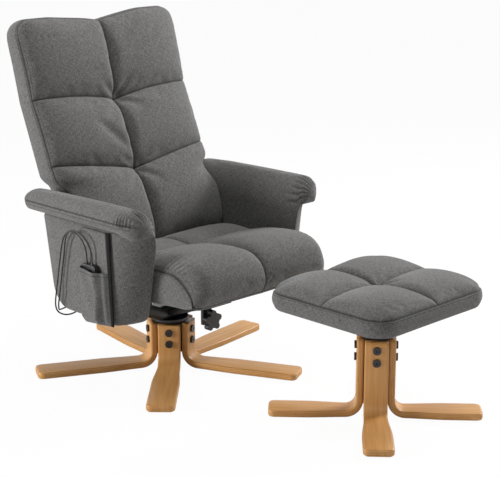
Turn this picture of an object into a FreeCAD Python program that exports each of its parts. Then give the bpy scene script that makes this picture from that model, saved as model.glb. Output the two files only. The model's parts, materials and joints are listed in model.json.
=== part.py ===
"""Swivel massage recliner with a footstool, as a parametric FreeCAD document (millimetres).

The floor point under the swivel axis is the origin. +X is the way the seat faces, +Y the sitter's left, +Z up.
"""
import FreeCAD, Part
import os
from math import atan2, cos, hypot, pi, radians, sin, tan
from types import SimpleNamespace

import Sketcher

V = FreeCAD.Vector

# Driving dimensions, one cell of the sheet each
DIMENSIONS = {
    # bent plywood legs, chair and footstool alike
    "leg_thick": 19.0,
    "leg_bend": 28.0,
    "leg_edge": 3.0,
    "leg_tip_corner": 14.0,
    "leg_tip_width": 78.0,
    "glide_high": 3.0,
    "glide_radius": 13.0,
    "glide_inset": 34.0,
    # socket bolts that hold the legs
    "bolt_radius": 4.0,
    "bolt_play": 0.2,
    "bolt_length": 34.0,
    "bolt_head_radius": 10.5,
    "bolt_head_high": 6.0,
    "bolt_socket_radius": 3.6,
    "bolt_socket_deep": 3.5,
    "bolt_pitch": 33.0,
    "bolt_drop": 22.0,
    # star base
    "base_turn": -45.7,
    "base_reach": 390.0,
    "base_plate_top": 134.0,
    "base_plate_face": 64.5,
    "base_plate_width": 64.0,
    "base_flare_start": 98.0,
    "base_flare_end": 195.0,
    "hub_low": 52.0,
    # swivel
    "spindle_radius": 14.0,
    "spindle_low": 58.0,
    "bush_wall": 3.0,
    "bush_flange_radius": 40.0,
    "bush_flange_high": 3.0,
    "running_gap": 0.05,
    "swivel_plate_radius": 52.0,
    "swivel_plate_high": 8.0,
    # carrier beam under the seat
    "beam_flat_half": 55.0,
    "beam_high": 42.0,
    "beam_deep": 64.0,
    "beam_rise": 92.0,
    "beam_round": 14.0,
    "flange_thick": 10.0,
    "flange_deep": 100.0,
    "flange_high": 76.0,
    # knob and its bracket
    "bracket_reach": 186.0,
    "bracket_half": 34.0,
    "bracket_wall": 5.0,
    "bracket_nose_high": 26.0,
    "lug_half": 16.0,
    "knob_rise": 37.0,
    "knob_head_room": 23.0,
    "knob_radius": 30.0,
    "knob_thick": 18.0,
    "knob_lobe_radius": 9.0,
    "knob_boss_radius": 13.0,
    "knob_boss_high": 8.0,
    "knob_gap": 1.0,
    "stud_radius": 5.0,
    "stud_length": 40.0,
    # arms
    "arm_inner": 260.0,
    "arm_outer": 342.0,
    "arm_core_inner": 272.0,
    "arm_core_thick": 22.0,
    "arm_core_inset": 16.0,
    "arm_low": 230.0,
    "arm_top": 478.0,
    "arm_rear_top": -138.0,
    "arm_rear_low": -96.0,
    "arm_front_low": 212.0,
    "arm_front_top": 256.0,
    "arm_rear_corner": 62.0,
    "arm_front_corner": 44.0,
    "arm_edge": 15.0,
    "pad_rear": -211.0,
    "pad_front": 268.0,
    "pad_inner": 257.0,
    "pad_outer": 357.0,
    "pad_high": 62.0,
    "pad_crown_round": 31.0,
    "pad_under_round": 20.0,
    "arm_bolt_radius": 4.0,
    "arm_bolt_length": 18.0,
    "arm_bolt_head_radius": 7.0,
    "arm_bolt_head_high": 4.0,
    # back pivot and linkage
    "pivot_x": -75.0,
    "pivot_z": 415.0,
    "pivot_radius": 8.0,
    "link_drop": 80.0,
    "link_pin_radius": 5.0,
    "link_pin_length": 20.0,
    "hinge_plate_inner": 246.0,
    "hinge_plate_thick": 6.0,
    "hinge_plate_margin": 15.0,
    "pin_end_gap": 3.0,
    "cross_tube_x": -132.0,
    "cross_tube_z": 425.0,
    "cross_tube_radius": 11.0,
    "cross_tube_wall": 2.0,
    # back
    "back_foot_x": -66.0,
    "back_foot_z": 350.0,
    "back_bend_x": -246.0,
    "back_bend_z": 755.0,
    "back_top_x": -308.0,
    "back_top_z": 990.0,
    "back_depth_low": 72.0,
    "back_depth_bend": 58.0,
    "back_depth_top": 44.0,
    "back_half": 279.0,
    "back_neck_half": 240.0,
    "back_notch_z": 562.0,
    "back_corner": 46.0,
    "back_dip": 24.0,
    "back_dip_half": 150.0,
    "back_seam_z": 591.0,
    "back_wall": 9.0,
    "back_board_depth": 13.0,
    "back_crown": 37.0,
    "back_lumbar_crown": 44.0,
    "back_seam_rise": 22.0,
    "back_edge_rise": 3.0,
    "motor_radius": 22.0,
    "motor_high": 13.0,
    "motor_spread": 95.0,
    # seat
    "seat_half": 242.0,
    "seat_rear": -52.0,
    "seat_low": 288.0,
    "seat_rear_top": 362.0,
    "seat_seam_x": 103.0,
    "seat_seam_z": 366.0,
    "seat_crest_x": 318.0,
    "seat_crest_z": 390.0,
    "seat_nose_x": 381.0,
    "seat_nose_z": 340.0,
    "seat_hem_x": 366.0,
    "seat_crown": 17.0,
    "seat_nose_crown": 7.0,
    "seat_corner_draw": 30.0,
    "seat_cavity_high": 28.0,
    "seat_rail_width": 24.0,
    "seat_rail_inner": 200.0,
    "seat_rail_front": 322.0,
    "webbing_thick": 3.0,
    "webbing_width": 46.0,
    "runner_inner": 100.0,
    "runner_width": 24.0,
    "runner_high": 32.0,
    "runner_rear": -52.0,
    "runner_front": 250.0,
    "rail_rear": -120.0,
    "rail_front": 190.0,
    "rail_wall": 6.0,
    "rail_play": 0.3,
    "rail_lap": 18.0,
    "saddle_half": 30.0,
    "fork_inner": 228.0,
    "fork_thick": 8.0,
    "fork_back": 42.0,
    "fork_low": 300.0,
    "fork_top": 347.0,
    "fork_play": 1.5,
    # pouch and handset on the right arm
    "pouch_rear": 54.0,
    "pouch_front": 150.0,
    "pouch_low": 225.0,
    "pouch_top": 474.0,
    "pouch_mouth": 372.0,
    "pouch_back_thick": 3.0,
    "pouch_deep": 27.0,
    "pouch_wall": 2.5,
    "pouch_slant": 18.0,
    "strip_width": 20.0,
    "strip_thick": 4.0,
    "handset_rear": 64.0,
    "handset_wide": 58.0,
    "handset_deep": 18.0,
    "handset_low": 254.0,
    "handset_high": 134.0,
    "handset_wall": 2.0,
    "handset_corner": 8.0,
    "handset_gap": 1.0,
    "button_radius": 6.0,
    "button_stroke": 1.2,
    "button_pitch": 22.0,
    "button_play": 0.3,
    "button_proud": 1.6,
    "button_skirt": 1.0,
    # leads and the box that they plug into
    "lead_diameter": 4.0,
    "relief_radius": 4.0,
    "relief_high": 10.0,
    "box_rear": -132.0,
    "box_front": -56.0,
    "box_outer": 257.0,
    "box_inner": 222.0,
    "box_low": 242.0,
    "box_high": 44.0,
    "box_corner": 5.0,
    "inlet_radius": 2.8,
    "inlet_deep": 10.0,
    # footstool
    "stool_x": 672.0,
    "stool_y": 117.0,
    "stool_turn": -47.5,
    "stool_reach": 279.0,
    "stool_plate_top": 217.0,
    "stool_plate_face": 50.5,
    "stool_plate_width": 62.0,
    "stool_flare_start": 86.0,
    "stool_flare_end": 165.0,
    "stool_half_deep": 192.0,
    "stool_half_wide": 215.0,
    "stool_cushion_low": 305.0,
    "stool_seam_z": 345.0,
    "stool_crown": 33.0,
    "stool_valley": 12.0,
    "stool_tuft": 3.0,
    "stool_corner": 42.0,
    "stool_board_inset": 50.0,
    "stool_board_thick": 15.0,
    "stool_plate_half": 75.0,
    "stool_plate_thick": 5.0,
    "stool_post_wall": 5.0,
    # one overrun serves every cut
    "overrun": 5.0,
    "blank_margin": 2.0,
}

# Crown of a quilted panel across its half width, from the centre channel to the side seam
PLACE_SHARES = (0.0, 0.10, 0.30, 0.55, 0.80, 0.94, 1.0)
CROWN_SHARES = (0.0, 0.50, 0.90, 1.0, 0.86, 0.50, 0.12)
HALF_SHARE = 0.5
BASE_LEGS = 5
STOOL_LEGS = 4
KNOB_LOBES = 5
BUTTON_NAMES = ("power", "mode", "level", "heat")

# Routes of the two handset leads, from the handset to the box under the arm (x, y, z in millimetres)
LEAD_ROUTES = {
    "handset_lead_long": [
        (82, -358, 398), (82, -358, 416), (78, -360, 434), (68, -361, 449), (53, -361, 459), (36, -361, 464),
        (18, -360, 464), (2, -360, 457), (-11, -360, 444), (-20, -360, 425), (-27, -360, 399), (-33, -360, 372),
        (-39.5, -360, 344), (-45.5, -360, 316), (-52, -360, 288), (-57.5, -360, 262), (-61, -359, 243), (-60, -356, 227),
        (-54, -348, 217), (-46, -334, 212), (-44, -316, 212), (-50, -298, 212.3), (-59, -281, 212.6), (-68, -264, 212.2),
        (-75.1, -249.9, 211.5), (-79.5, -241.7, 215), (-82, -237, 222.6), (-82, -237, 233),
    ],
    "handset_lead_short": [
        (104, -358, 398), (104, -358, 415), (101, -361, 433), (92, -364, 450), (78, -367, 463), (60, -368, 470),
        (41, -368, 471), (23, -367, 466), (8, -365, 455), (-2, -363, 437), (-9, -361, 412), (-15, -360, 385),
        (-21.5, -360, 357), (-27.5, -360, 329), (-34, -360, 300), (-41, -359, 273), (-49, -357, 250), (-59, -350, 232),
        (-72, -339, 222), (-84, -324, 217), (-94, -307, 214.5), (-101, -288, 213), (-105, -269, 212.5),
        (-106, -251.6, 212.5), (-106, -242.4, 217), (-106, -237, 225.6), (-106, -237, 234),
    ],
}

doc = FreeCAD.newDocument("recliner")


class Size:
    """A value together with the sheet expression that gives it."""

    def __init__(self, value, text):
        self.value = float(value)
        self.text = text

    def joined(self, other, sign, value):
        return Size(value, f"({self.text} {sign} {sized(other).text})")

    def __add__(self, other):
        return self.joined(other, "+", self.value + sized(other).value)

    def __sub__(self, other):
        return self.joined(other, "-", self.value - sized(other).value)

    def __mul__(self, other):
        return self.joined(other, "*", self.value * sized(other).value)

    def __truediv__(self, other):
        return self.joined(other, "/", self.value / sized(other).value)

    def __neg__(self):
        return Size(-self.value, f"(0 - {self.text})")


def sized(number):
    """A plain number as a Size, or the Size itself."""
    if isinstance(number, Size):
        return number
    return Size(number, repr(float(number)))


def make_sheet():
    """Puts each driving dimension in a cell with its own alias."""
    sheet = doc.addObject("Spreadsheet::Sheet", "dims")
    for row, (name, value) in enumerate(DIMENSIONS.items(), start=1):
        sheet.set(f"A{row}", str(value))
        sheet.setAlias(f"A{row}", name)
    doc.recompute()
    return SimpleNamespace(**{name: Size(getattr(sheet, name), f"dims.{name}") for name in DIMENSIONS})


d = make_sheet()
ORIGIN = sized(0)
finished = []


def bind(item, prop, size):
    item.setExpression(prop, sized(size).text)


def place(item, x=ORIGIN, y=ORIGIN, z=ORIGIN, turn=None):
    """Binds an object's place, and its turn about Z where it has one."""
    bind(item, ".Placement.Base.x", x)
    bind(item, ".Placement.Base.y", y)
    bind(item, ".Placement.Base.z", z)
    if turn is not None:
        item.Placement.Rotation.Axis = V(0, 0, 1)
        bind(item, ".Placement.Rotation.Angle", turn)
    return item


def named(item, label):
    """Marks an object as a sub-part, which is written to a file of this name."""
    item.Label = label
    finished.append(item)
    return item


def box(x0, x1, y0, y1, z0, z1):
    """A box between two corners."""
    item = doc.addObject("Part::Box", "box")
    bind(item, "Length", sized(x1) - x0)
    bind(item, "Width", sized(y1) - y0)
    bind(item, "Height", sized(z1) - z0)
    return place(item, x0, y0, z0)


TURN_TO = {"X": (V(0, 1, 0), 90), "Y": (V(1, 0, 0), -90), "Z": (V(0, 0, 1), 0)}


def rod(radius, length, x=ORIGIN, y=ORIGIN, z=ORIGIN, along="Z"):
    """A cylinder that starts at a point and runs along one axis."""
    item = doc.addObject("Part::Cylinder", "rod")
    bind(item, "Radius", radius)
    bind(item, "Height", length)
    item.Placement.Rotation = FreeCAD.Rotation(*TURN_TO[along])
    return place(item, x, y, z)


def cut(base, tool):
    item = doc.addObject("Part::Cut", "cut")
    item.Base = base
    item.Tool = tool
    return item


def common(base, tool):
    item = doc.addObject("Part::Common", "common")
    item.Base = base
    item.Tool = tool
    return item


def fuse(pieces):
    """Several solids as one; a single solid is wrapped, which gives it a place of its own."""
    if len(pieces) == 1:
        return group(pieces)
    item = doc.addObject("Part::MultiFuse", "fuse")
    item.Shapes = pieces
    return item


def group(pieces):
    """Several separate solids as one sub-part."""
    item = doc.addObject("Part::Compound", "group")
    item.Links = pieces
    return item


def add_outline(sketch, corners, arcs):
    """Draws a closed outline through the corners; arcs maps a corner to (centre, radius, turns left)."""
    count = len(corners)
    ends = []
    for i, (x, y) in enumerate(corners):
        start = V(x.value, y.value, 0)
        nx, ny = corners[(i + 1) % count]
        stop = V(nx.value, ny.value, 0)
        if i not in arcs:
            ends.append((sketch.addGeometry(Part.LineSegment(start, stop), False), 1, 2))
            continue
        (cx, cy), radius, turns_left = arcs[i]
        circle = Part.Circle(V(cx.value, cy.value, 0), V(0, 0, 1), radius.value)
        first, last = (start, stop) if turns_left else (stop, start)
        angles = [atan2(p.y - cy.value, p.x - cx.value) for p in (first, last)]
        edge = sketch.addGeometry(Part.ArcOfCircle(circle, *angles), False)
        ends.append((edge, 1, 2) if turns_left else (edge, 2, 1))
    for i, (edge, _, last) in enumerate(ends):
        follower, first, _ = ends[(i + 1) % count]
        sketch.addConstraint(Sketcher.Constraint("Coincident", edge, last, follower, first))
    for (edge, first, _), corner in zip(ends, corners):
        for kind, size in zip(("DistanceX", "DistanceY"), corner):
            index = sketch.addConstraint(Sketcher.Constraint(kind, -1, 1, edge, first, size.value))
            sketch.setExpression(f"Constraints[{index}]", size.text)
    for i, (_, radius, _) in arcs.items():
        index = sketch.addConstraint(Sketcher.Constraint("Radius", ends[i][0], radius.value))
        sketch.setExpression(f"Constraints[{index}]", radius.text)


def new_sketch(body, role):
    """An empty sketch on one of the body's own origin planes."""
    sketch = body.newObject("Sketcher::SketchObject", "outline")
    plane = next(item for item in body.Origin.OriginFeatures if item.Role == role)
    sketch.AttachmentSupport = [(plane, "")]
    sketch.MapMode = "FlatFace"
    return sketch


def sizes_of(corners):
    return [(sized(x), sized(y)) for x, y in corners]


def padded_body(role, corners, length, arcs=None):
    """A body with one outline padded equally to both sides of its plane."""
    body = doc.addObject("PartDesign::Body", "body")
    sketch = new_sketch(body, role)
    add_outline(sketch, sizes_of(corners), arcs or {})
    pad = body.newObject("PartDesign::Pad", "pad")
    pad.Profile = sketch
    pad.Midplane = True
    bind(pad, "Length", length)
    doc.recompute()
    return body


def pocket_through(body, sketch):
    """Cuts a sketch right through the body, both ways, and checks that it took something away."""
    before = body.Shape.Volume
    pocket = body.newObject("PartDesign::Pocket", "pocket")
    pocket.Profile = sketch
    pocket.Type = "ThroughAll"
    pocket.Midplane = True
    doc.recompute()
    if not body.Shape.Volume < before:
        raise RuntimeError("a pocket cut nothing")
    return pocket


def round_edges(body, radius, chosen):
    """Fillets those edges of the body's last feature that the test picks."""
    base = body.Tip
    names = [f"Edge{i}" for i, edge in enumerate(base.Shape.Edges, start=1) if chosen(edge)]
    fillet = body.newObject("PartDesign::Fillet", "fillet")
    fillet.Base = (base, names)
    bind(fillet, "Radius", radius)
    doc.recompute()
    return body


def near(a, b):
    return abs(a - b) < 1e-4


def runs_along(edge, axis):
    """Whether a straight edge runs along an axis, 0 to 2."""
    spans = (edge.BoundBox.XLength, edge.BoundBox.YLength, edge.BoundBox.ZLength)
    return spans[axis] > 1e-3 and all(near(span, 0) for i, span in enumerate(spans) if i != axis)


def leg_sizes(prefix):
    """The sizes of one kind of leg, chair or footstool."""
    names = ("reach", "plate_top", "plate_face", "plate_width", "flare_start", "flare_end")
    return SimpleNamespace(**{name: getattr(d, f"{prefix}_{name}") for name in names})


def bolt_heights(leg):
    upper = leg.plate_top - d.bolt_drop
    return upper, upper - d.bolt_pitch


def bent_leg(leg):
    """One plywood leg along +X: an upright plate, a bend and a foot that flares to a round-cornered tip."""
    inner = leg.plate_face - d.leg_thick
    under = d.glide_high
    top = under + d.leg_thick
    centre = (leg.plate_face + d.leg_bend, top + d.leg_bend)
    side = [
        (inner, leg.plate_top),
        (inner, centre[1]),
        (centre[0], under),
        (leg.reach, under),
        (leg.reach, top),
        (centre[0], top),
        (leg.plate_face, centre[1]),
        (leg.plate_face, leg.plate_top),
    ]
    bends = {1: (centre, d.leg_bend + d.leg_thick, True), 5: (centre, d.leg_bend, False)}
    body = padded_body("XZ_Plane", side, d.leg_tip_width + d.overrun, bends)
    half = leg.plate_width * HALF_SHARE
    tip = d.leg_tip_width * HALF_SHARE
    corner = d.leg_tip_corner
    plan = [
        (inner - d.overrun, -half),
        (leg.flare_start, -half),
        (leg.flare_end, -tip),
        (leg.reach - corner, -tip),
        (leg.reach, corner - tip),
        (leg.reach, tip - corner),
        (leg.reach - corner, tip),
        (leg.flare_end, tip),
        (leg.flare_start, half),
        (inner - d.overrun, half),
    ]
    rounds = {
        3: ((leg.reach - corner, corner - tip), corner, True),
        5: ((leg.reach - corner, tip - corner), corner, True),
    }
    trim = new_sketch(body, "XY_Plane")
    add_outline(trim, sizes_of(plan), rounds)
    far = leg.reach + d.overrun
    wide = tip + d.overrun
    rear = inner - d.overrun - d.overrun
    add_outline(trim, sizes_of([(rear, -wide), (far, -wide), (far, wide), (rear, wide)]), {})
    pocket_through(body, trim)
    holes = new_sketch(body, "YZ_Plane")
    for height in bolt_heights(leg):
        circle = holes.addGeometry(Part.Circle(V(0, height.value, 0), V(0, 0, 1), d.bolt_radius.value), False)
        holes.addConstraint(Sketcher.Constraint("PointOnObject", circle, 3, -2))
        level = holes.addConstraint(Sketcher.Constraint("DistanceY", -1, 1, circle, 3, height.value))
        holes.setExpression(f"Constraints[{level}]", height.text)
        wide_hole = d.bolt_radius + d.bolt_play
        radius = holes.addConstraint(Sketcher.Constraint("Radius", circle, wide_hole.value))
        holes.setExpression(f"Constraints[{radius}]", wide_hole.text)
    pocket_through(body, holes)
    level_top = top.value
    face = leg.plate_face.value

    def on_show(edge):
        flat = near(edge.BoundBox.ZMin, level_top) and near(edge.BoundBox.ZMax, level_top)
        across = runs_along(edge, 1) and edge.BoundBox.XMin < leg.reach.value - corner.value
        upright = near(edge.BoundBox.XMin, face) and near(edge.BoundBox.XMax, face) and runs_along(edge, 2)
        bend = near(edge.BoundBox.ZMin, level_top) and near(edge.BoundBox.XMin, face) and not runs_along(edge, 1)
        return (flat or upright or bend) and not across

    return round_edges(body, d.leg_edge, on_show)


def leg_bolts(leg, x, y, turns):
    """Two socket bolts to a leg, each a shank and a round head with a hexagon socket."""
    bolts = []
    for turn in turns:
        for height in bolt_heights(leg):
            shank = rod(d.bolt_radius, d.bolt_length, leg.plate_face - d.bolt_length, z=height, along="X")
            head = rod(d.bolt_head_radius, d.bolt_head_high, leg.plate_face, z=height, along="X")
            socket = doc.addObject("Part::Prism", "socket")
            bind(socket, "Circumradius", d.bolt_socket_radius)
            bind(socket, "Height", d.bolt_socket_deep + d.overrun)
            socket.Placement.Rotation = FreeCAD.Rotation(*TURN_TO["X"])
            place(socket, leg.plate_face + d.bolt_head_high - d.bolt_socket_deep, z=height)
            bolts.append(place(cut(fuse([shank, head]), socket), x, y, turn=turn))
    return group(bolts)


def bolt_tools(leg, turns):
    """The holes that the bolts' shanks fill in the hub or post."""
    tools = []
    for turn in turns:
        for height in bolt_heights(leg):
            shank = rod(d.bolt_radius, d.bolt_length, leg.plate_face - d.bolt_length, z=height, along="X")
            tools.append(place(fuse([shank]), turn=turn))
    return fuse(tools)


def glides(leg, x, y, turns):
    """Felt discs under the leg tips."""
    discs = []
    for turn in turns:
        disc = rod(d.glide_radius, d.glide_high, leg.reach - d.glide_inset)
        discs.append(place(fuse([disc]), x, y, turn=turn))
    return group(discs)


def regular_prism(sides, inradius, z0, z1, turn):
    """An upright post with flats at the given turn."""
    item = doc.addObject("Part::Prism", "post")
    item.Polygon = sides
    bind(item, "Circumradius", inradius / cos(pi / sides))
    bind(item, "Height", sized(z1) - z0)
    return place(item, z=z0, turn=turn + 180.0 / sides)


def star_base():
    leg = leg_sizes("base")
    turns = [d.base_turn + 360.0 / BASE_LEGS * i for i in range(BASE_LEGS)]
    for i, turn in enumerate(turns, start=1):
        named(place(bent_leg(leg), turn=turn), f"chair_leg_{i}")
    post = regular_prism(BASE_LEGS, leg.plate_face - d.leg_thick, d.hub_low, leg.plate_top, d.base_turn)
    bush_radius = d.spindle_radius + d.running_gap + d.bush_wall
    bore = rod(bush_radius, leg.plate_top, z=d.overrun)
    named(cut(cut(post, bore), bolt_tools(leg, turns)), "base_hub")
    sleeve = rod(bush_radius, leg.plate_top - d.hub_low, z=d.hub_low)
    flange = rod(d.bush_flange_radius, d.bush_flange_high, z=leg.plate_top)
    hole = rod(d.spindle_radius + d.running_gap, leg.plate_top)
    tall_hole = place(fuse([hole]), z=d.overrun)
    named(cut(fuse([sleeve, flange]), tall_hole), "swivel_bush")
    named(leg_bolts(leg, ORIGIN, ORIGIN, turns), "base_bolts")
    named(glides(leg, ORIGIN, ORIGIN, turns), "base_glides")


PLATE_LOW = d.base_plate_top + d.bush_flange_high + d.running_gap
BEAM_LOW = PLATE_LOW + d.swivel_plate_high
BEAM_TOP = BEAM_LOW + d.beam_high
BEAM_END = d.arm_core_inner - d.flange_thick


def carrier():
    """Spindle, swivel plate and the bent beam that carries both arms and the seat rails."""
    named(rod(d.spindle_radius, BEAM_LOW - d.spindle_low, z=d.spindle_low), "swivel_spindle")
    disc = rod(d.swivel_plate_radius, d.swivel_plate_high, z=PLATE_LOW)
    bore = rod(d.spindle_radius, BEAM_LOW, z=d.overrun)
    named(cut(disc, bore), "swivel_plate")
    profile = [
        (-BEAM_END, BEAM_LOW + d.beam_rise),
        (-d.beam_flat_half, BEAM_LOW),
        (d.beam_flat_half, BEAM_LOW),
        (BEAM_END, BEAM_LOW + d.beam_rise),
        (BEAM_END, BEAM_TOP + d.beam_rise),
        (d.beam_flat_half, BEAM_TOP),
        (-d.beam_flat_half, BEAM_TOP),
        (-BEAM_END, BEAM_TOP + d.beam_rise),
    ]
    beam = padded_body("YZ_Plane", profile, d.beam_deep)
    upright_faces = d.beam_deep.value * HALF_SHARE

    def long_edge(edge):
        on_side = near(abs(edge.BoundBox.XMin), upright_faces) and near(edge.BoundBox.XLength, 0)
        return on_side and not runs_along(edge, 2)

    round_edges(beam, d.beam_round, long_edge)
    flange_half = d.flange_deep * HALF_SHARE
    flange_low = BEAM_LOW + d.beam_rise - (d.flange_high - d.beam_high) * HALF_SHARE
    pieces = [beam]
    for inner, outer in ((BEAM_END, d.arm_core_inner), (-d.arm_core_inner, -BEAM_END)):
        pieces.append(box(-flange_half, flange_half, inner, outer, flange_low, flange_low + d.flange_high))
    named(fuse(pieces), "carrier_beam")
    return flange_half, flange_low


def knob_and_bracket():
    """A wedge-shaped bracket on the front of the beam, and the star knob on its stud."""
    front = d.beam_deep * HALF_SHARE
    nose = front + d.bracket_reach
    lug_x = front + d.bracket_reach * 0.62
    knob_z = d.base_plate_top + d.knob_rise
    nose_low = knob_z + d.knob_radius + d.knob_head_room
    nose_top = nose_low + d.bracket_nose_high
    side = [
        (front, BEAM_LOW + d.beam_round),
        (nose, nose_low),
        (nose, nose_top),
        (front, BEAM_TOP - d.beam_round),
    ]
    wedge = padded_body("XZ_Plane", side, d.bracket_half * 2.0)
    wall = d.bracket_wall
    hollow_side = [
        (front - d.overrun, BEAM_LOW + d.beam_round + wall),
        (nose + d.overrun, nose_low + wall + wall),
        (nose + d.overrun, nose_top + nose_top),
        (front - d.overrun, nose_top + nose_top),
    ]
    hollow = padded_body("XZ_Plane", hollow_side, (d.bracket_half - wall) * 2.0)
    lug = box(lug_x, lug_x + wall + wall, -d.lug_half, d.lug_half, knob_z - d.lug_half, nose_top)
    hole = rod(d.stud_radius + d.running_gap, d.bracket_reach, front, z=knob_z, along="X")
    lug_below = cut(lug, padded_body("XZ_Plane", hollow_side, d.bracket_half * 2.0))
    named(cut(fuse([cut(wedge, hollow), lug_below]), hole), "knob_bracket")
    stud_start = lug_x + wall + wall + d.knob_gap + d.knob_boss_high + d.knob_thick * HALF_SHARE
    named(rod(d.stud_radius, d.stud_length, stud_start - d.stud_length, z=knob_z, along="X"), "knob_stud")
    boss_x = lug_x + wall + wall + d.knob_gap
    disc_x = boss_x + d.knob_boss_high
    pieces = [
        rod(d.knob_boss_radius, d.knob_boss_high, boss_x, z=knob_z, along="X"),
        rod(d.knob_radius - d.knob_lobe_radius, d.knob_thick, disc_x, z=knob_z, along="X"),
    ]
    for i in range(KNOB_LOBES):
        angle = 2 * pi * i / KNOB_LOBES + pi / 2
        ring = d.knob_radius - d.knob_lobe_radius
        across = ring * cos(angle)
        up = knob_z + ring * sin(angle)
        pieces.append(rod(d.knob_lobe_radius, d.knob_thick, disc_x, across, up, "X"))
    seat = rod(d.stud_radius, d.stud_length, stud_start - d.stud_length, z=knob_z, along="X")
    named(cut(fuse(pieces), seat), "star_knob")


def mirrored_y(item):
    """The same piece on the other side of the chair."""
    other = doc.addObject("Part::Mirroring", "mirror")
    other.Source = item
    other.Normal = V(0, 1, 0)
    return other


def arm_outline(inset):
    """The arm's side outline, rear top corner first, drawn in by an inset."""
    return [
        (d.arm_rear_top + inset, d.arm_top),
        (d.arm_rear_low + inset, d.arm_low + inset),
        (d.arm_front_low - inset, d.arm_low + inset),
        (d.arm_front_top - inset, d.arm_top),
    ]


def arm_slab(inset, thick):
    """A slab of the arm's outline with rounded lower corners, centred on the chair's middle plane."""
    slab = padded_body("XZ_Plane", arm_outline(inset), thick)
    low = d.arm_low.value + sized(inset).value
    middle = (d.arm_rear_low.value + d.arm_front_low.value) * HALF_SHARE

    def rear_corner(edge):
        return runs_along(edge, 1) and near(edge.BoundBox.ZMin, low) and edge.BoundBox.XMin < middle

    def front_corner(edge):
        return runs_along(edge, 1) and near(edge.BoundBox.ZMin, low) and edge.BoundBox.XMin > middle

    round_edges(slab, d.arm_rear_corner, rear_corner)
    return round_edges(slab, d.arm_front_corner, front_corner)


def arms(flange_half, flange_low):
    """Plywood cores, padded panels and pads of the two arms, with their bolts and the back's pivot pins."""
    thick = d.arm_outer - d.arm_inner
    panel = arm_slab(ORIGIN, thick)
    side = thick.value * HALF_SHARE
    top = d.arm_top.value

    def outer_rim(edge):
        on_side = near(abs(edge.BoundBox.YMin), side) and near(edge.BoundBox.YLength, 0)
        return on_side and not (near(edge.BoundBox.ZMin, top) and near(edge.BoundBox.ZMax, top))

    round_edges(panel, d.arm_edge, outer_rim)
    place(panel, y=d.arm_inner + thick * HALF_SHARE)
    core_outer = d.arm_core_inner + d.arm_core_thick
    core_middle = d.arm_core_inner + d.arm_core_thick * HALF_SHARE
    core = place(arm_slab(d.arm_core_inset, d.arm_core_thick), y=core_middle)
    core_tool = place(arm_slab(d.arm_core_inset, d.arm_core_thick), y=core_middle)
    window = box(
        -flange_half, flange_half, d.arm_inner - d.overrun, d.arm_core_inner, flange_low, flange_low + d.flange_high
    )
    pin_hole = rod(d.pivot_radius, thick, d.pivot_x, d.arm_inner - d.overrun, d.pivot_z, "Y")
    bolts, bolt_holes = [], []
    for x_share in (-HALF_SHARE, HALF_SHARE):
        x = d.flange_deep * x_share * 0.82
        z = flange_low + d.flange_high * HALF_SHARE
        shank = rod(d.arm_bolt_radius, d.arm_bolt_length + d.flange_thick, x, BEAM_END, z, "Y")
        head = rod(
            d.arm_bolt_head_radius, d.arm_bolt_head_high, x, BEAM_END - d.arm_bolt_head_high, z, "Y"
        )
        bolts.append(fuse([shank, head]))
        hole_length = d.arm_bolt_length + d.flange_thick
        bolt_holes.append(rod(d.arm_bolt_radius, hole_length, x, BEAM_END, z, "Y"))
    pin_seat = rod(d.pivot_radius, d.arm_core_thick, d.pivot_x, d.arm_core_inner, d.pivot_z, "Y")
    core_left = cut(core, fuse(bolt_holes + [pin_seat]))
    panel_left = cut(panel, fuse([core_tool, window, pin_hole]))
    pin_start = d.hinge_plate_inner - d.pin_end_gap
    pin = rod(d.pivot_radius, core_outer - pin_start, d.pivot_x, pin_start, d.pivot_z, "Y")
    pad_radius = (d.pad_outer - d.pad_inner) * HALF_SHARE
    rear_centre = d.pad_rear + pad_radius
    front_centre = d.pad_front - pad_radius
    stadium = [
        (rear_centre, -pad_radius),
        (front_centre, -pad_radius),
        (d.pad_front, ORIGIN),
        (front_centre, pad_radius),
        (rear_centre, pad_radius),
        (d.pad_rear, ORIGIN),
    ]
    front_round = ((front_centre, ORIGIN), pad_radius, True)
    rear_round = ((rear_centre, ORIGIN), pad_radius, True)
    ends = {1: front_round, 2: front_round, 4: rear_round, 5: rear_round}
    pad = padded_body("XY_Plane", stadium, d.pad_high, ends)
    half_high = d.pad_high.value * HALF_SHARE

    def crown_rim(edge):
        return near(edge.BoundBox.ZMin, half_high) and near(edge.BoundBox.ZMax, half_high)

    def under_rim(edge):
        return near(edge.BoundBox.ZMin, -half_high) and near(edge.BoundBox.ZMax, -half_high)

    round_edges(pad, d.pad_crown_round, crown_rim)
    round_edges(pad, d.pad_under_round, under_rim)
    place(pad, y=d.pad_inner + pad_radius, z=d.arm_top + d.pad_high * HALF_SHARE)
    for piece, name in ((core_left, "arm_core"), (panel_left, "arm_panel"), (pad, "arm_pad")):
        named(piece, f"{name}_left")
        named(mirrored_y(piece), f"{name}_right")
    named(group(bolts + [mirrored_y(bolt) for bolt in bolts]), "arm_bolts")
    named(group([pin, mirrored_y(pin)]), "pivot_pins")
    return bolt_holes


def cut_beam_holes(bolt_holes):
    """Drills the flanges of the beam for the arm bolts."""
    beam = next(item for item in finished if item.Label == "carrier_beam")
    finished.remove(beam)
    beam.Label = "carrier_beam_blank"
    tools = fuse(bolt_holes + [mirrored_y(hole) for hole in bolt_holes])
    named(cut(beam, tools), "carrier_beam")
    return beam


RUNNER_OUTER = d.runner_inner + d.runner_width
RUNNER_LOW = d.seat_low - d.runner_high
RAIL_LOW = RUNNER_LOW - d.rail_play - d.rail_wall


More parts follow.
